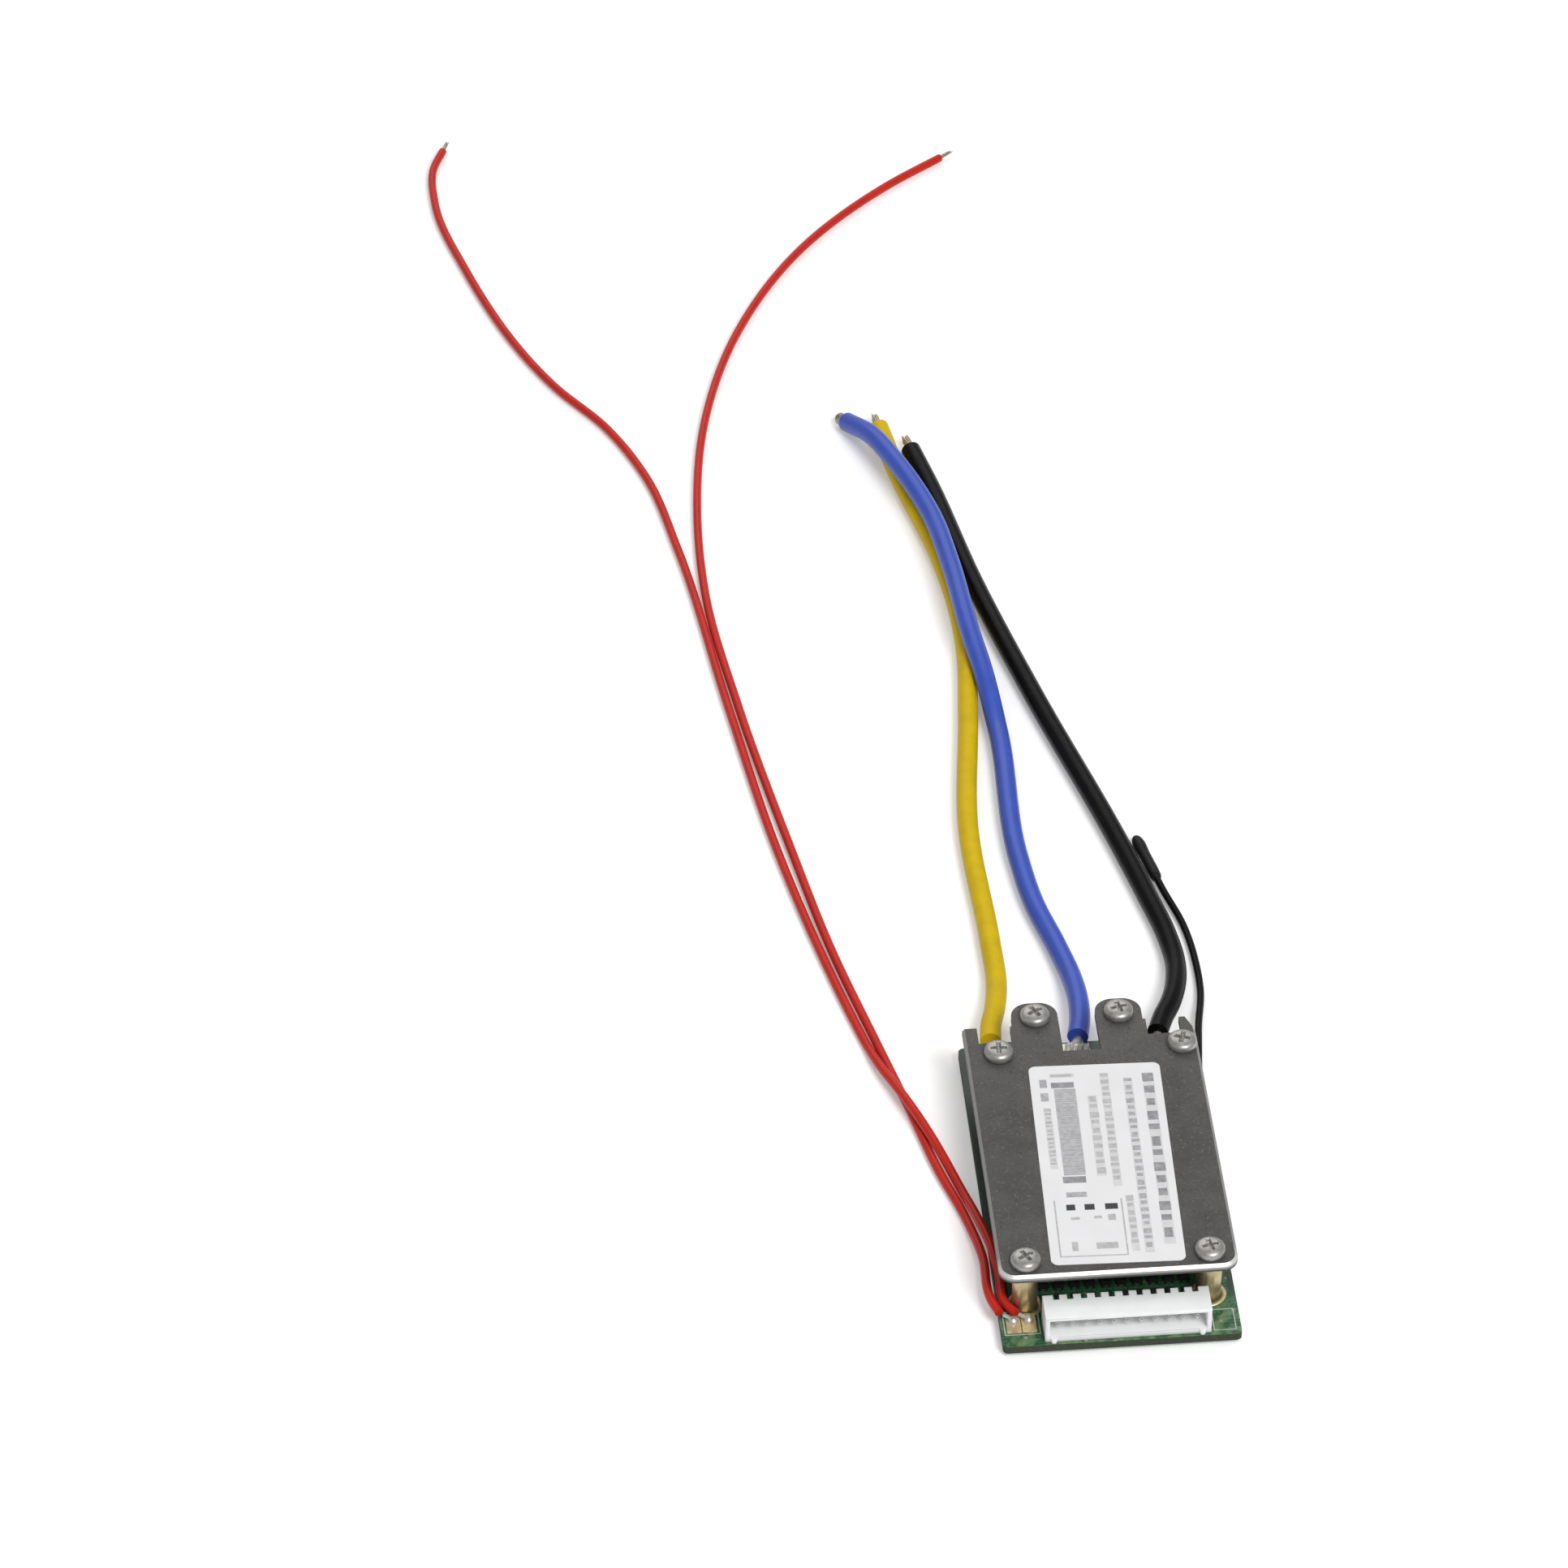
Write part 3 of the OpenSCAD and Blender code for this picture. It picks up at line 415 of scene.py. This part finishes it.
PLATE = blasted_plate()
BOARD = board_mask()
NYLON = nylon()
LABEL = plain("label film", (0.74, 0.74, 0.75), 0.46, vary=0.03, size=5.0, depth=0.004)
STEEL = plain("nickel plate", (0.37, 0.36, 0.34), 0.40, 0.75, vary=0.16, size=1.0, depth=0.01)
BRASS = plain("turned brass", (0.52, 0.43, 0.25), 0.34, 0.85, vary=0.15, size=1.5)
BLACK_MOULDING = plain("black moulding", (0.018, 0.018, 0.02), 0.55, vary=0.2, size=0.8, depth=0.02)
TINNED = plain("tinned metal", (0.55, 0.55, 0.54), 0.36, 0.9, vary=0.08)
THERMAL = plain("thermal silicone", (0.33, 0.35, 0.38), 0.7, vary=0.05)
SOLDER = plain("solder", (0.60, 0.59, 0.57), 0.36, 0.7, vary=0.08, size=0.8, depth=0.006, grain=0.5)
CERAMIC = plain("ceramic", (0.42, 0.28, 0.15), 0.45, vary=0.1)
GILT = plain("gold plate", (0.76, 0.60, 0.34), 0.38, 0.5, vary=0.2, size=1.0, depth=0.01)
RESISTOR = plain("resistor film", (0.02, 0.022, 0.025), 0.4, vary=0.15)
YELLOW = insulation("yellow silicone", (0.63, 0.435, 0.002), 0.42, gloss=0.12)
BLUE = insulation("blue silicone", (0.030, 0.078, 0.46), 0.36, gloss=0.42)
BLACK = insulation("black silicone", (0.0025, 0.0022, 0.002), 0.34, vary=0.25, gloss=0.10)
RED = insulation("red vinyl", (0.52, 0.018, 0.010), 0.36, gloss=0.2)
SLEEVE = insulation("shrink sleeve", (0.008, 0.008, 0.008), 0.45, vary=0.2, gloss=0.2)
STRANDS = plain("tinned strands", (0.46, 0.40, 0.31), 0.34, 0.9, vary=0.2, size=0.6)
DULL_TIN = plain("dipped tin", (0.30, 0.28, 0.24), 0.42, 0.85, vary=0.2, size=0.7, depth=0.03, grain=0.5)
SILK = plain("board marking", (0.48, 0.50, 0.46), 0.6, vary=0.15, size=0.6, depth=0.001)
GREY_PRINT = plain("grey print", (0.38, 0.38, 0.40), 0.5, vary=0.25, size=0.7, depth=0.001)
DARK_PRINT = plain("dark print", (0.27, 0.27, 0.285), 0.5, vary=0.3, size=1.1, depth=0.001)
BLACK_PRINT = plain("black print", (0.02, 0.02, 0.024), 0.5, vary=0.2, size=0.7, depth=0.001)
PALE_PRINT = plain("pale print", (0.45, 0.45, 0.45), 0.5, vary=0.15, size=0.9, depth=0.001)
TINT = plain("pale tint", (0.61, 0.61, 0.61), 0.5, vary=0.06, size=1.2, depth=0.001)

for nodes, material in (
        (("circuit_board",), BOARD), (("heat_plate",), PLATE), (("label",), LABEL),
        (("corner_screws", "lug_screws"), STEEL), (("corner_pillars", "lug_pillars"), BRASS),
        (("charge_transistors", "discharge_transistors", "balance_switches", "monitor_chip"), BLACK_MOULDING),
        (("charge_tabs", "discharge_tabs", "charge_legs", "discharge_legs", "header_contacts",
          "monitor_chip_legs"), TINNED),
        (("front_thermal_pad", "rear_thermal_pad"), THERMAL), (("header_housing",), NYLON),
        (("header_solder", "leg_solder", "power_pads", "switch_joints", "sensor_joint"), SOLDER),
        (("balance_resistors", "current_resistors"), RESISTOR), (("filter_capacitors",), CERAMIC),
        (("switch_pads",), GILT)):
    for node in nodes:
        for slot in CAD[node].material_slots:
            slot.material = material

MOULDING_EDGE = 0.14
SMALL_EDGE = 0.12
for node, name, width, material in (
        ("header_housing", "header_moulding", MOULDING_EDGE, NYLON),
        ("charge_transistors", "charge_transistor_bodies", SMALL_EDGE, BLACK_MOULDING),
        ("discharge_transistors", "discharge_transistor_bodies", SMALL_EDGE, BLACK_MOULDING),
        ("corner_pillars", "corner_pillar_hexes", SMALL_EDGE, BRASS),
        ("lug_pillars", "lug_pillar_hexes", SMALL_EDGE, BRASS)):
    dressed(softened(name, node, width), material, node)


# ---- Leads

YELLOW_ROUTE = [(-15.5, 38.5, 4.6), (-15, 43, 4.2), (-13.5, 49.5, 3.1), (-12.4, 57, 2.2),
                (-12.3, 69, 2), (-13, 102, 2), (-9.4, 137, 2), (-7.9, 155, 2), (-8.2, 170, 2),
                (-10, 185.5, 2), (-16, 214.5, 2), (-18.2, 229, 2)]
BLUE_ROUTE = [(0.8, 38.5, 4.6), (1.7, 43, 4.3), (2.2, 49.5, 3.6), (1.8, 57.5, 2.5),
              (0.2, 66.5, 2), (-2.8, 79.5, 2), (-4.3, 93, 2), (-4.3, 133, 2.2),
              (-5.6, 146, 5), (-6.9, 155.5, 6.2), (-8.8, 179, 6.2), (-10.7, 193, 6.2),
              (-16.4, 212, 6.2), (-20.6, 223, 5.1), (-24.6, 231, 2.3)]
BLACK_ROUTE = [(15.8, 38.5, 4.6), (17.2, 42.5, 4.3), (19.4, 47.5, 3.8), (21.2, 54, 3),
               (21.9, 60.5, 2.2), (21.3, 68, 2), (18.9, 80, 2), (15.6, 95, 2), (4, 141, 2),
               (-4.4, 178.5, 2), (-9.8, 209, 2), (-12.4, 221, 2)]
RIGHT_RED_ROUTE = [(-21.4, -31.5, 3.3), (-22.4, -28.5, 3.3), (-22.8, -16, 2.4), (-24.4, -5, 0.9),
                   (-28.3, 9, 0.9), (-31.6, 24, 0.9), (-36, 42.8, 0.9), (-42.4, 71, 0.9),
                   (-47.4, 100, 0.9), (-54.2, 144.5, 0.9), (-57.8, 178, 0.9), (-57.5, 205, 0.9),
                   (-53.5, 236, 0.9), (-44.5, 265, 0.9), (-28, 294, 0.9), (-8, 314.5, 0.9),
                   (4, 323.5, 0.9)]
LEFT_RED_ROUTE = [(-18.5, -31.8, 3.3), (-20, -29.5, 3.3), (-20.5, -22, 3.4), (-21.2, -14, 3.5),
                  (-22.6, -7, 3), (-24.6, 2.5, 1.4), (-28.6, 15.5, 2.4), (-31, 22.2, 2.8),
                  (-33.5, 29, 2.6), (-36.1, 36, 1.9), (-38, 43, 0.9), (-44.6, 71, 0.9),
                  (-50.1, 100, 0.9), (-56.2, 144.5, 0.9), (-62.3, 194, 0.9), (-67, 218, 0.9),
                  (-74, 235, 0.9), (-83.5, 249.5, 0.9), (-100, 292, 0.9), (-105.2, 316, 0.9),
                  (-104.8, 329, 0.9), (-102.6, 335, 0.9)]
SENSOR_ROUTE = [(20, 18.5, 3.2), (21.7, 25, 3.4), (22.8, 33, 3.6), (24, 42, 2.4), (25.9, 54, 0.9),
                (26, 61, 0.8), (25, 72, 0.8), (22.2, 82.5, 1.25), (21.6, 85.2, 1.27)]

POWER_D = 4.0
SWITCH_D = 1.7
SENSOR_D = 1.4


def straight_on(end, way, distances):
    """Points at distances in millimetres along the line that leaves end in direction way."""
    way = np.array(way) / np.linalg.norm(way)
    return np.array(end) + way * (np.array(distances)[:, None] * MM)


def strands(name, end, way, count, radius, bundle, long, flare):
    """A bared end: count strands in a twisted bundle. Strand i lies on a ring of radius bundle *
    sqrt(i / (count - 1)) * (1 + flare t^2) at the share t of its reach and turns 1.2 radians over it.
    Each reach is a little less than long, by a sine of i, and the last fifth tapers."""
    t = np.linspace(0.0, 1.0, 10)
    way = np.array(way) / np.linalg.norm(way)
    side = np.cross(way, (0.0, 0.0, 1.0))
    side /= np.linalg.norm(side)
    up = np.cross(side, way)
    taper = np.interp(t, (0.0, 0.8, 1.0), (1.0, 1.0, 0.25))
    pieces = []
    for i in range(count):
        reach = long * (1.0 - 0.05 * (math.sin(7.3 * i) + 1.0))
        ring = bundle * math.sqrt(i / (count - 1)) * (1.0 + flare * t ** 2)
        turn = 2.4 * i + 1.2 * t
        offset = ring[:, None] * (np.cos(turn)[:, None] * side + np.sin(turn)[:, None] * up) * MM
        pieces.append(tube(straight_on(end, way, reach * t - 0.4) + offset, radius * taper * MM, 8))
    return dressed(merged(name, pieces), STRANDS)


def dipped(name, end, way, radius, long):
    """A bared end that was dipped in solder: a rod whose radius ripples with a sine, narrows a
    little and closes in a half round tip."""
    t = np.linspace(0.0, 1.0, 26)
    tip = np.sqrt(np.clip(1.0 - (np.clip(t - 0.78, 0.0, None) / 0.22) ** 2, 0.0005, 1.0))
    r = radius * (1.0 + 0.05 * np.sin(9.0 * t) - 0.12 * t) * tip
    return dressed(merged(name, [tube(straight_on(end, way, long * t - 0.3), r * MM, 20)]), DULL_TIN)


def sleeve_tip(name, end, way):
    """Shrink sleeve drawn down over the thermistor bead: narrow on the lead, widest over the bead
    and closed by a round tip."""
    stations = [(0.0, 0.80), (0.5, 1.02), (1.4, 1.12), (3.0, 1.16), (5.5, 1.14), (7.5, 1.15), (9.0, 1.24),
                (10.4, 1.25), (11.4, 1.12), (12.2, 0.86), (12.7, 0.5), (12.9, 0.12)]
    s, r = spline([(s, r, 0.0) for s, r in stations], 0.3).T[:2]
    return dressed(merged(name, [tube(straight_on(end, way, s), r * MM, 28)]), SLEEVE)


def free_lead(name, route, diameter, material, node, tip, tip_node):
    """A lead over its CAD tube, never lower than the floor, with the piece on its far end."""
    line = spline(route)
    line[:, 2] = np.maximum(line[:, 2], diameter / 2)
    line *= MM
    obj = dressed(tube_curve(name, line, diameter / 2 * MM), material, node)
    end = tip(name + "_end", line[-1], line[-1] - line[-3])
    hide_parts(tip_node)


def yellow_tip(name, end, way):
    """Twelve strands, nearly closed."""
    return strands(name, end, way, count=12, radius=0.24, bundle=0.62, long=4.6, flare=0.15)


def blue_tip(name, end, way):
    """A short dipped end."""
    return dipped(name, end, way, radius=1.35, long=3.8)


def black_tip(name, end, way):
    """Fourteen strands, a little open."""
    return strands(name, end, way, count=14, radius=0.24, bundle=0.68, long=4.8, flare=0.25)


def fine_tip(name, end, way):
    """Seven thin strands, for the switch leads."""
    return strands(name, end, way, count=7, radius=0.14, bundle=0.28, long=4.0, flare=0.2)


free_lead("yellow_power_lead", YELLOW_ROUTE, POWER_D, YELLOW, "yellow_lead", yellow_tip, "yellow_strands")
free_lead("blue_power_lead", BLUE_ROUTE, POWER_D, BLUE, "blue_lead", blue_tip, "blue_strands")
free_lead("black_power_lead", BLACK_ROUTE, POWER_D, BLACK, "black_lead", black_tip, "black_strands")
free_lead("left_switch_lead", LEFT_RED_ROUTE, SWITCH_D, RED, "left_red_lead", fine_tip, "left_red_strands")
free_lead("right_switch_lead", RIGHT_RED_ROUTE, SWITCH_D, RED, "right_red_lead", fine_tip,
          "right_red_strands")
free_lead("thermistor_lead", SENSOR_ROUTE, SENSOR_D, BLACK, "sensor_lead", sleeve_tip, "sensor_sleeve")


# ---- Label and its print: fields of tone and plain blocks

PLATE_TOP = 12.8
LABEL_MID = (0.8, -4.3)
LABEL_TURN = math.radians(-1.7)
LABEL_HALF = (12.1, 26.1)
LABEL_R = 1.3
LABEL_T = 0.15
INK = PLATE_TOP + LABEL_T

CORNERS = np.array([(x, y, z) for z in (0, 1) for y in (0, 1) for x in (0, 1)], dtype=float)
BOX_FACES = np.array([(0, 2, 3, 1), (4, 5, 7, 6), (0, 1, 5, 4), (2, 6, 7, 3), (0, 4, 6, 2), (1, 3, 7, 5)])


def boxes(lows, highs):
    """Many boxes at once: corner = low + (high - low) * unit corner, in millimetres."""
    lows, highs = np.atleast_2d(lows), np.atleast_2d(highs)
    corners = lows[:, None] + (highs - lows)[:, None] * CORNERS
    faces = BOX_FACES + 8 * np.arange(len(lows))[:, None, None]
    return corners.reshape(-1, 3), [faces.reshape(-1, 4)]


def on_label(points):
    """From (across, along, height) about the label's middle to the frame, in metres."""
    c, s = math.cos(LABEL_TURN), math.sin(LABEL_TURN)
    u, v, z = np.moveaxis(points, -1, 0)
    return np.stack((LABEL_MID[0] + c * u - s * v, LABEL_MID[1] + s * u + c * v, z), axis=-1) * MM


def label_sheet():
    """The label's film: a rectangle with round corners, in three outlines one above the other, the
    top one drawn in a little."""
    a = np.radians(np.arange(4)[:, None] * 90.0 + np.linspace(0.0, 90.0, 9)[None, :])
    w, l = LABEL_HALF[0] - LABEL_R, LABEL_HALF[1] - LABEL_R
    mid = np.array([(w, l), (-w, l), (-w, -l), (w, -l)])[:, None]
    rim = (mid + LABEL_R * np.stack((np.cos(a), np.sin(a)), axis=-1)).reshape(-1, 2)
    rings = [np.column_stack((rim * shrink, np.full(len(rim), PLATE_TOP + z)))
             for z, shrink in ((0.005, 1.0), (0.11, 1.0), (LABEL_T, 0.997))]
    points, blocks = surface(np.array(rings), ring=True, caps=True)
    return merged("label_sheet", [(on_label(points), blocks)], smooth=False)


def printed(name, fields, material, lift=0.01):
    """Flat fields of print, each (across from, along from, across to, along to)."""
    u0, v0, u1, v1 = np.array(fields, dtype=float).T
    low, high = np.full(len(u0), INK - 0.01), np.full(len(u0), INK + lift)
    corners, blocks = boxes(np.column_stack((u0, v0, low)), np.column_stack((u1, v1, high)))
    dressed(merged(name, [(on_label(corners), blocks)], smooth=False), material)


def column(u, width, v0, v1, pitch, seed):
    """One line of plain blocks along the label, from v0 down to v1. The length and the width of
    block i swing with sines of i, so that no two neighbours are alike."""
    i = np.arange(int((v0 - v1) / pitch))
    top = v0 - i * pitch
    long = pitch * (0.58 + 0.16 * np.sin(seed + 2.7 * i))
    half = 0.5 * width * (0.86 + 0.14 * np.sin(1.7 * seed + 1.9 * i))
    return list(zip(u - half, top - long, u + half, top))


dressed(label_sheet(), LABEL, "label")

BOX_L, BOX_R, BOX_TOP, BOX_FOOT, RULE = -10.4, 2.0, -9.6, -24.3, 0.3
ruled_box = [(BOX_L, BOX_FOOT, BOX_L + RULE, BOX_TOP), (BOX_R - RULE, BOX_FOOT, BOX_R, BOX_TOP),
             (BOX_L + 1.1 * RULE, BOX_FOOT, BOX_R - 1.1 * RULE, BOX_FOOT + RULE)]
printed("print_tints",
        [(-10.2, -1.4, -8.8, 14.8), (-1.9, -3.6, -0.2, 17.7), (0.8, -6.4, 2.4, 23.7), (5.0, -23.8, 6.7, 22.2),
         (2.7, -23.3, 4.1, -8.8), (8.6, -21.8, 10.7, 23.4), (-8.4, 22.8, -3.9, 23.9)], TINT, lift=0.004)
printed("pale_print",
        column(-9.5, 1.3, 14.6, -1.3, 1.1, 0.4) + column(-1.0, 1.7, 17.5, -3.5, 2.1, 2.3)
        + column(1.6, 1.6, 23.5, -6.3, 1.7, 3.9) + column(3.4, 1.4, -9.0, -23.2, 1.9, 1.1) + ruled_box
        + [(-8.2, 23.0, -4.4, 23.7), (-7.6, -14.8, -6.0, -14.1), (-3.4, -14.6, -2.0, -13.9),
           (-0.9, -15.2, 0.5, -13.6), (-8.0, -22.8, -6.9, -20.4), (-3.6, -22.4, 0.3, -20.8)], PALE_PRINT)
printed("grey_print", column(5.85, 1.5, 22.0, -23.7, 1.8, 5.2) + column(-9.7, 1.5, 22.4, 13.0, 3.6, 0.2)
        + [(-7.9, -8.9, -4.2, -7.6)], GREY_PRINT)
printed("dark_print", column(9.6, 2.1, 23.2, -21.5, 3.4, 0.6)
        + [(-8.3, 20.0, -4.1, 21.5), (-8.2, -5.2, -4.0, -3.5)], DARK_PRINT)
printed("black_print", [(-8.2, -12.3, -6.6, -10.8), (-4.9, -12.3, -3.1, -10.8), (-1.2, -12.3, 1.1, -10.8)],
        BLACK_PRINT)

BARS_TOP, BARS_FOOT, BARS_L, BARS_R = 19.8, -3.2, -7.9, -3.9
printed("bar_field", [(BARS_L, BARS_FOOT, BARS_R, BARS_TOP)], PALE_PRINT, lift=0.004)
bar = np.arange(60)
thick = 0.27 + 0.08 * np.sin(3.1 * bar)
space = 0.25 + 0.08 * np.sin(5.3 * bar + 1.0)
bar_top = BARS_TOP - 0.2 - np.cumsum(thick + space) + thick + space
bar_top = bar_top[bar_top - thick > BARS_FOOT + 0.1]
printed("bars", [(BARS_L + 0.1, v - w, BARS_R - 0.1, v) for v, w in zip(bar_top, thick)], GREY_PRINT)


# ---- Screws: domed pan heads with a tapered cross recess

CORNER_SPOTS = [(-16.6, -28.9), (16.6, -28.9), (-15.5, 26.0), (18.5, 26.0)]
LUG_SPOTS = [(-7.8, 35.3), (7.8, 35.3)]
HEAD_R, HEAD_H = 2.75, 1.9
RIM_SHARE = 0.30
ARM_HALF, ARM_REACH, ARM_DEPTH = 0.42, 1.55, 0.95
SHANK_R, SHANK_FOOT = 1.5, 6.9


def pan_head(spot, turn):
    """One head. Its height at the share t of the radius is that of a dome, height * (0.3 + 0.7
    sqrt(1 - (0.97 t)^4)), less the deeper of the two arms of a cross, whose walls slope and whose
    floor rises outwards. The last row drops to the plate."""
    t = np.append(np.linspace(0.012, 1.0, 40), 1.0)[:, None]
    a = np.linspace(0.0, 2 * math.pi, 112, endpoint=False)[None, :]
    x, y = HEAD_R * t * np.cos(a), HEAD_R * t * np.sin(a)

    def arm(p, q):
        """Depth of one arm that runs along p, from 0 to 1."""
        across = np.clip((ARM_HALF - np.abs(q)) / 0.2, 0.0, 1.0)
        ends = np.clip((ARM_REACH - np.abs(p)) / 0.3, 0.0, 1.0)
        return np.minimum(across, ends) * (1.0 - 0.35 * np.abs(p) / ARM_REACH)

    dome = RIM_SHARE + (1.0 - RIM_SHARE) * np.sqrt(1.0 - (0.97 * t) ** 4)
    z = HEAD_H * dome - ARM_DEPTH * np.maximum(arm(x, y), arm(y, x))
    z[-2] = RIM_SHARE * HEAD_H
    z[-1] = 0.01
    c, s = math.cos(turn), math.sin(turn)
    points = np.stack((spot[0] + c * x - s * y, spot[1] + s * x + c * y, PLATE_TOP + z), axis=-1)
    return surface(points * MM, ring=True, caps=True)


def screws(name, node, spots):
    """Heads and shanks of a group of screws, each cross turned further than the one before."""
    pieces = []
    for i, spot in enumerate(spots):
        pieces.append(pan_head(spot, 0.5 + 1.3 * i))
        shank = [(SHANK_R - 0.2, SHANK_FOOT), (SHANK_R, SHANK_FOOT + 0.2), (SHANK_R, PLATE_TOP + 0.01)]
        pieces.append(lathe(shank, (*spot, 0.0), 32))
    dressed(merged(name, pieces), STEEL, node)


screws("corner_pan_heads", "corner_screws", CORNER_SPOTS)
screws("lug_pan_heads", "lug_screws", LUG_SPOTS)


# ---- Solder under the power leads: a mound that wets the pad and climbs the strands

PAD_TOP = 2.5
POOL_H, RIDGE_H = 0.9, 1.5
CREST_END = 2.2


def mound(name, node, route, wide=2.3, long=5.0, core=1.25):
    """Height over the pad at (s along the strands, q across) is the sum of a low pool, POOL_H (1 -
    (q / wide)^2)^0.8, a ridge over the strands, RIDGE_H sqrt(1 - (q / core)^2), and a ripple; from
    CREST_END on, pool and ridge fall off towards the far end. Two points just under the pad's face
    close each section from below."""
    start = np.array(route[0])
    way = start - np.array(route[1])
    way[2] = 0.0
    way /= np.linalg.norm(way)
    side = np.array((-way[1], way[0], 0.0))
    s = np.linspace(-0.05, long - 0.05, 41)[:, None]
    q = np.linspace(-wide, wide, 41)[None, :]
    edge = 1.0 - (q / wide) ** 2
    fall = 1.0 - (np.clip(s - CREST_END, 0.0, None) / (long - CREST_END)) ** 2
    ridge = np.sqrt(np.clip(1.0 - (q / core) ** 2, 0.0, None))
    wires = 0.07 * np.cos(11.0 * q + 1.5 * s) * ridge
    height = POOL_H * edge ** 0.8 * fall ** 0.5 + (RIDGE_H * ridge + wires) * fall ** 0.4
    height += 0.06 * np.sin(3.0 * s + 2.0 * q) * edge
    top = start + way * s[..., None] + side * q[..., None]
    top[..., 2] = PAD_TOP + np.clip(height, 0.0, None)
    foot = top[:, [-1, 0]]
    foot[..., 2] = PAD_TOP - 0.03
    section = np.concatenate((top, foot), axis=1)
    dressed(merged(name, [surface(section * MM, ring=True, caps=True)]), SOLDER, node)


mound("yellow_solder", "yellow_joint", YELLOW_ROUTE)
mound("blue_solder", "blue_joint", BLUE_ROUTE)
mound("black_solder", "black_joint", BLACK_ROUTE)


# ---- Board details: tinned rings round the pillars and pale outlines round the parts

BOARD_TOP = 2.4
SUNK = BOARD_TOP - 0.02
RING_IN, RING_OUT, RING_TOP = 2.5, 3.3, BOARD_TOP + 0.03


def pad_rings():
    """A thin ring on the board round the neck of each pillar: a flat closed section turned about the
    pillar's axis, point = spot + (r cos a, r sin a, z)."""
    profile = [(RING_IN, SUNK), (RING_IN, RING_TOP), (RING_OUT, RING_TOP), (RING_OUT, SUNK), (RING_IN, SUNK)]
    r, z = np.array(profile).T[:, :, None]
    a = np.linspace(0.0, 2 * math.pi, 48, endpoint=False)[None, :]
    rings = []
    for spot in CORNER_SPOTS + LUG_SPOTS:
        points = np.stack(np.broadcast_arrays(spot[0] + r * np.cos(a), spot[1] + r * np.sin(a), z), axis=-1)
        rings.append(surface(points * MM, ring=True))
    return merged("pillar_pad_rings", rings)


def outline(x0, y0, x1, y1, line=0.18):
    """Four thin strips round a rectangle on the board, with a hair's gap at each join."""
    z0, z1 = SUNK, BOARD_TOP + 0.015
    join = 1.1 * line
    lows = [(x0, y0, z0), (x0, y1 - line, z0), (x0, y0 + join, z0), (x1 - line, y0 + join, z0)]
    highs = [(x1, y0 + line, z1), (x1, y1, z1), (x0 + line, y1 - join, z1), (x1, y1 - join, z1)]
    corners, blocks = boxes(lows, highs)
    return corners * MM, blocks


dressed(pad_rings(), GILT)
dressed(merged("board_outlines", [outline(-20.9, -36.6, -14.4, -30.6), outline(16.5, -38.4, 20.6, -33.0)],
               smooth=False), SILK)


# ---- Floor and light

FLOOR_HALF, FLOOR_Z = 8.0, -0.0002
GLOW_NEAR, GLOW_FAR = 0.22, 0.60
NEAR, FAR = 600.0, 2600.0
WHITE = (1.0, 1.0, 1.0)
corner = np.array([(-1, -1), (1, -1), (1, 1), (-1, 1)]) * FLOOR_HALF
square = (np.column_stack((corner, np.full(4, FLOOR_Z))), [np.arange(4)[None, :]])
floor = merged("floor", [square], smooth=False, closed=False)
floor_recipe = Recipe("floor")
rays = floor_recipe.node("ShaderNodeLightPath")
seen = floor_recipe.maths("MAXIMUM", rays.outputs["Is Camera Ray"], rays.outputs["Is Glossy Ray"])
seen = floor_recipe.maths("MAXIMUM", seen, rays.outputs["Is Transmission Ray"])
away = floor_recipe.node("ShaderNodeVectorMath", operation="LENGTH")
floor_recipe.tree.links.new(floor_recipe.place.outputs[0], away.inputs[0])
glow = floor_recipe.spread(away.outputs["Value"], NEAR, FAR, GLOW_NEAR, GLOW_FAR)
glow = floor_recipe.maths("MULTIPLY", seen, glow)
floor.data.materials.append(floor_recipe.finish((0.90, 0.90, 0.90), 0.9, 0.0, Specular_IOR_Level=0.1,
                                                Emission_Color=WHITE, Emission_Strength=glow))


def area_light(name, place, aim, size, power):
    """A square lamp at place that faces aim."""
    data = bpy.data.lights.new(name, "AREA")
    data.shape = "SQUARE"
    data.size = size
    data.energy = power
    obj = link(name, data)
    obj.location = place
    obj.rotation_euler = (Vector(aim) - Vector(place)).to_track_quat("-Z", "Y").to_euler()


MIDDLE = (0.0, 0.05, 0.0)
area_light("key", (0.45, -0.95, 1.3), MIDDLE, 0.6, 18.5)
area_light("rear", (-0.1, 1.35, 1.1), MIDDLE, 1.2, 7)
world = bpy.data.worlds.new("world")
world.use_nodes = True
world.node_tree.nodes["Background"].inputs["Color"].default_value = (*WHITE, 1.0)
world.node_tree.nodes["Background"].inputs["Strength"].default_value = 0.45
scene.world = world
scene.view_settings.view_transform = "Standard"
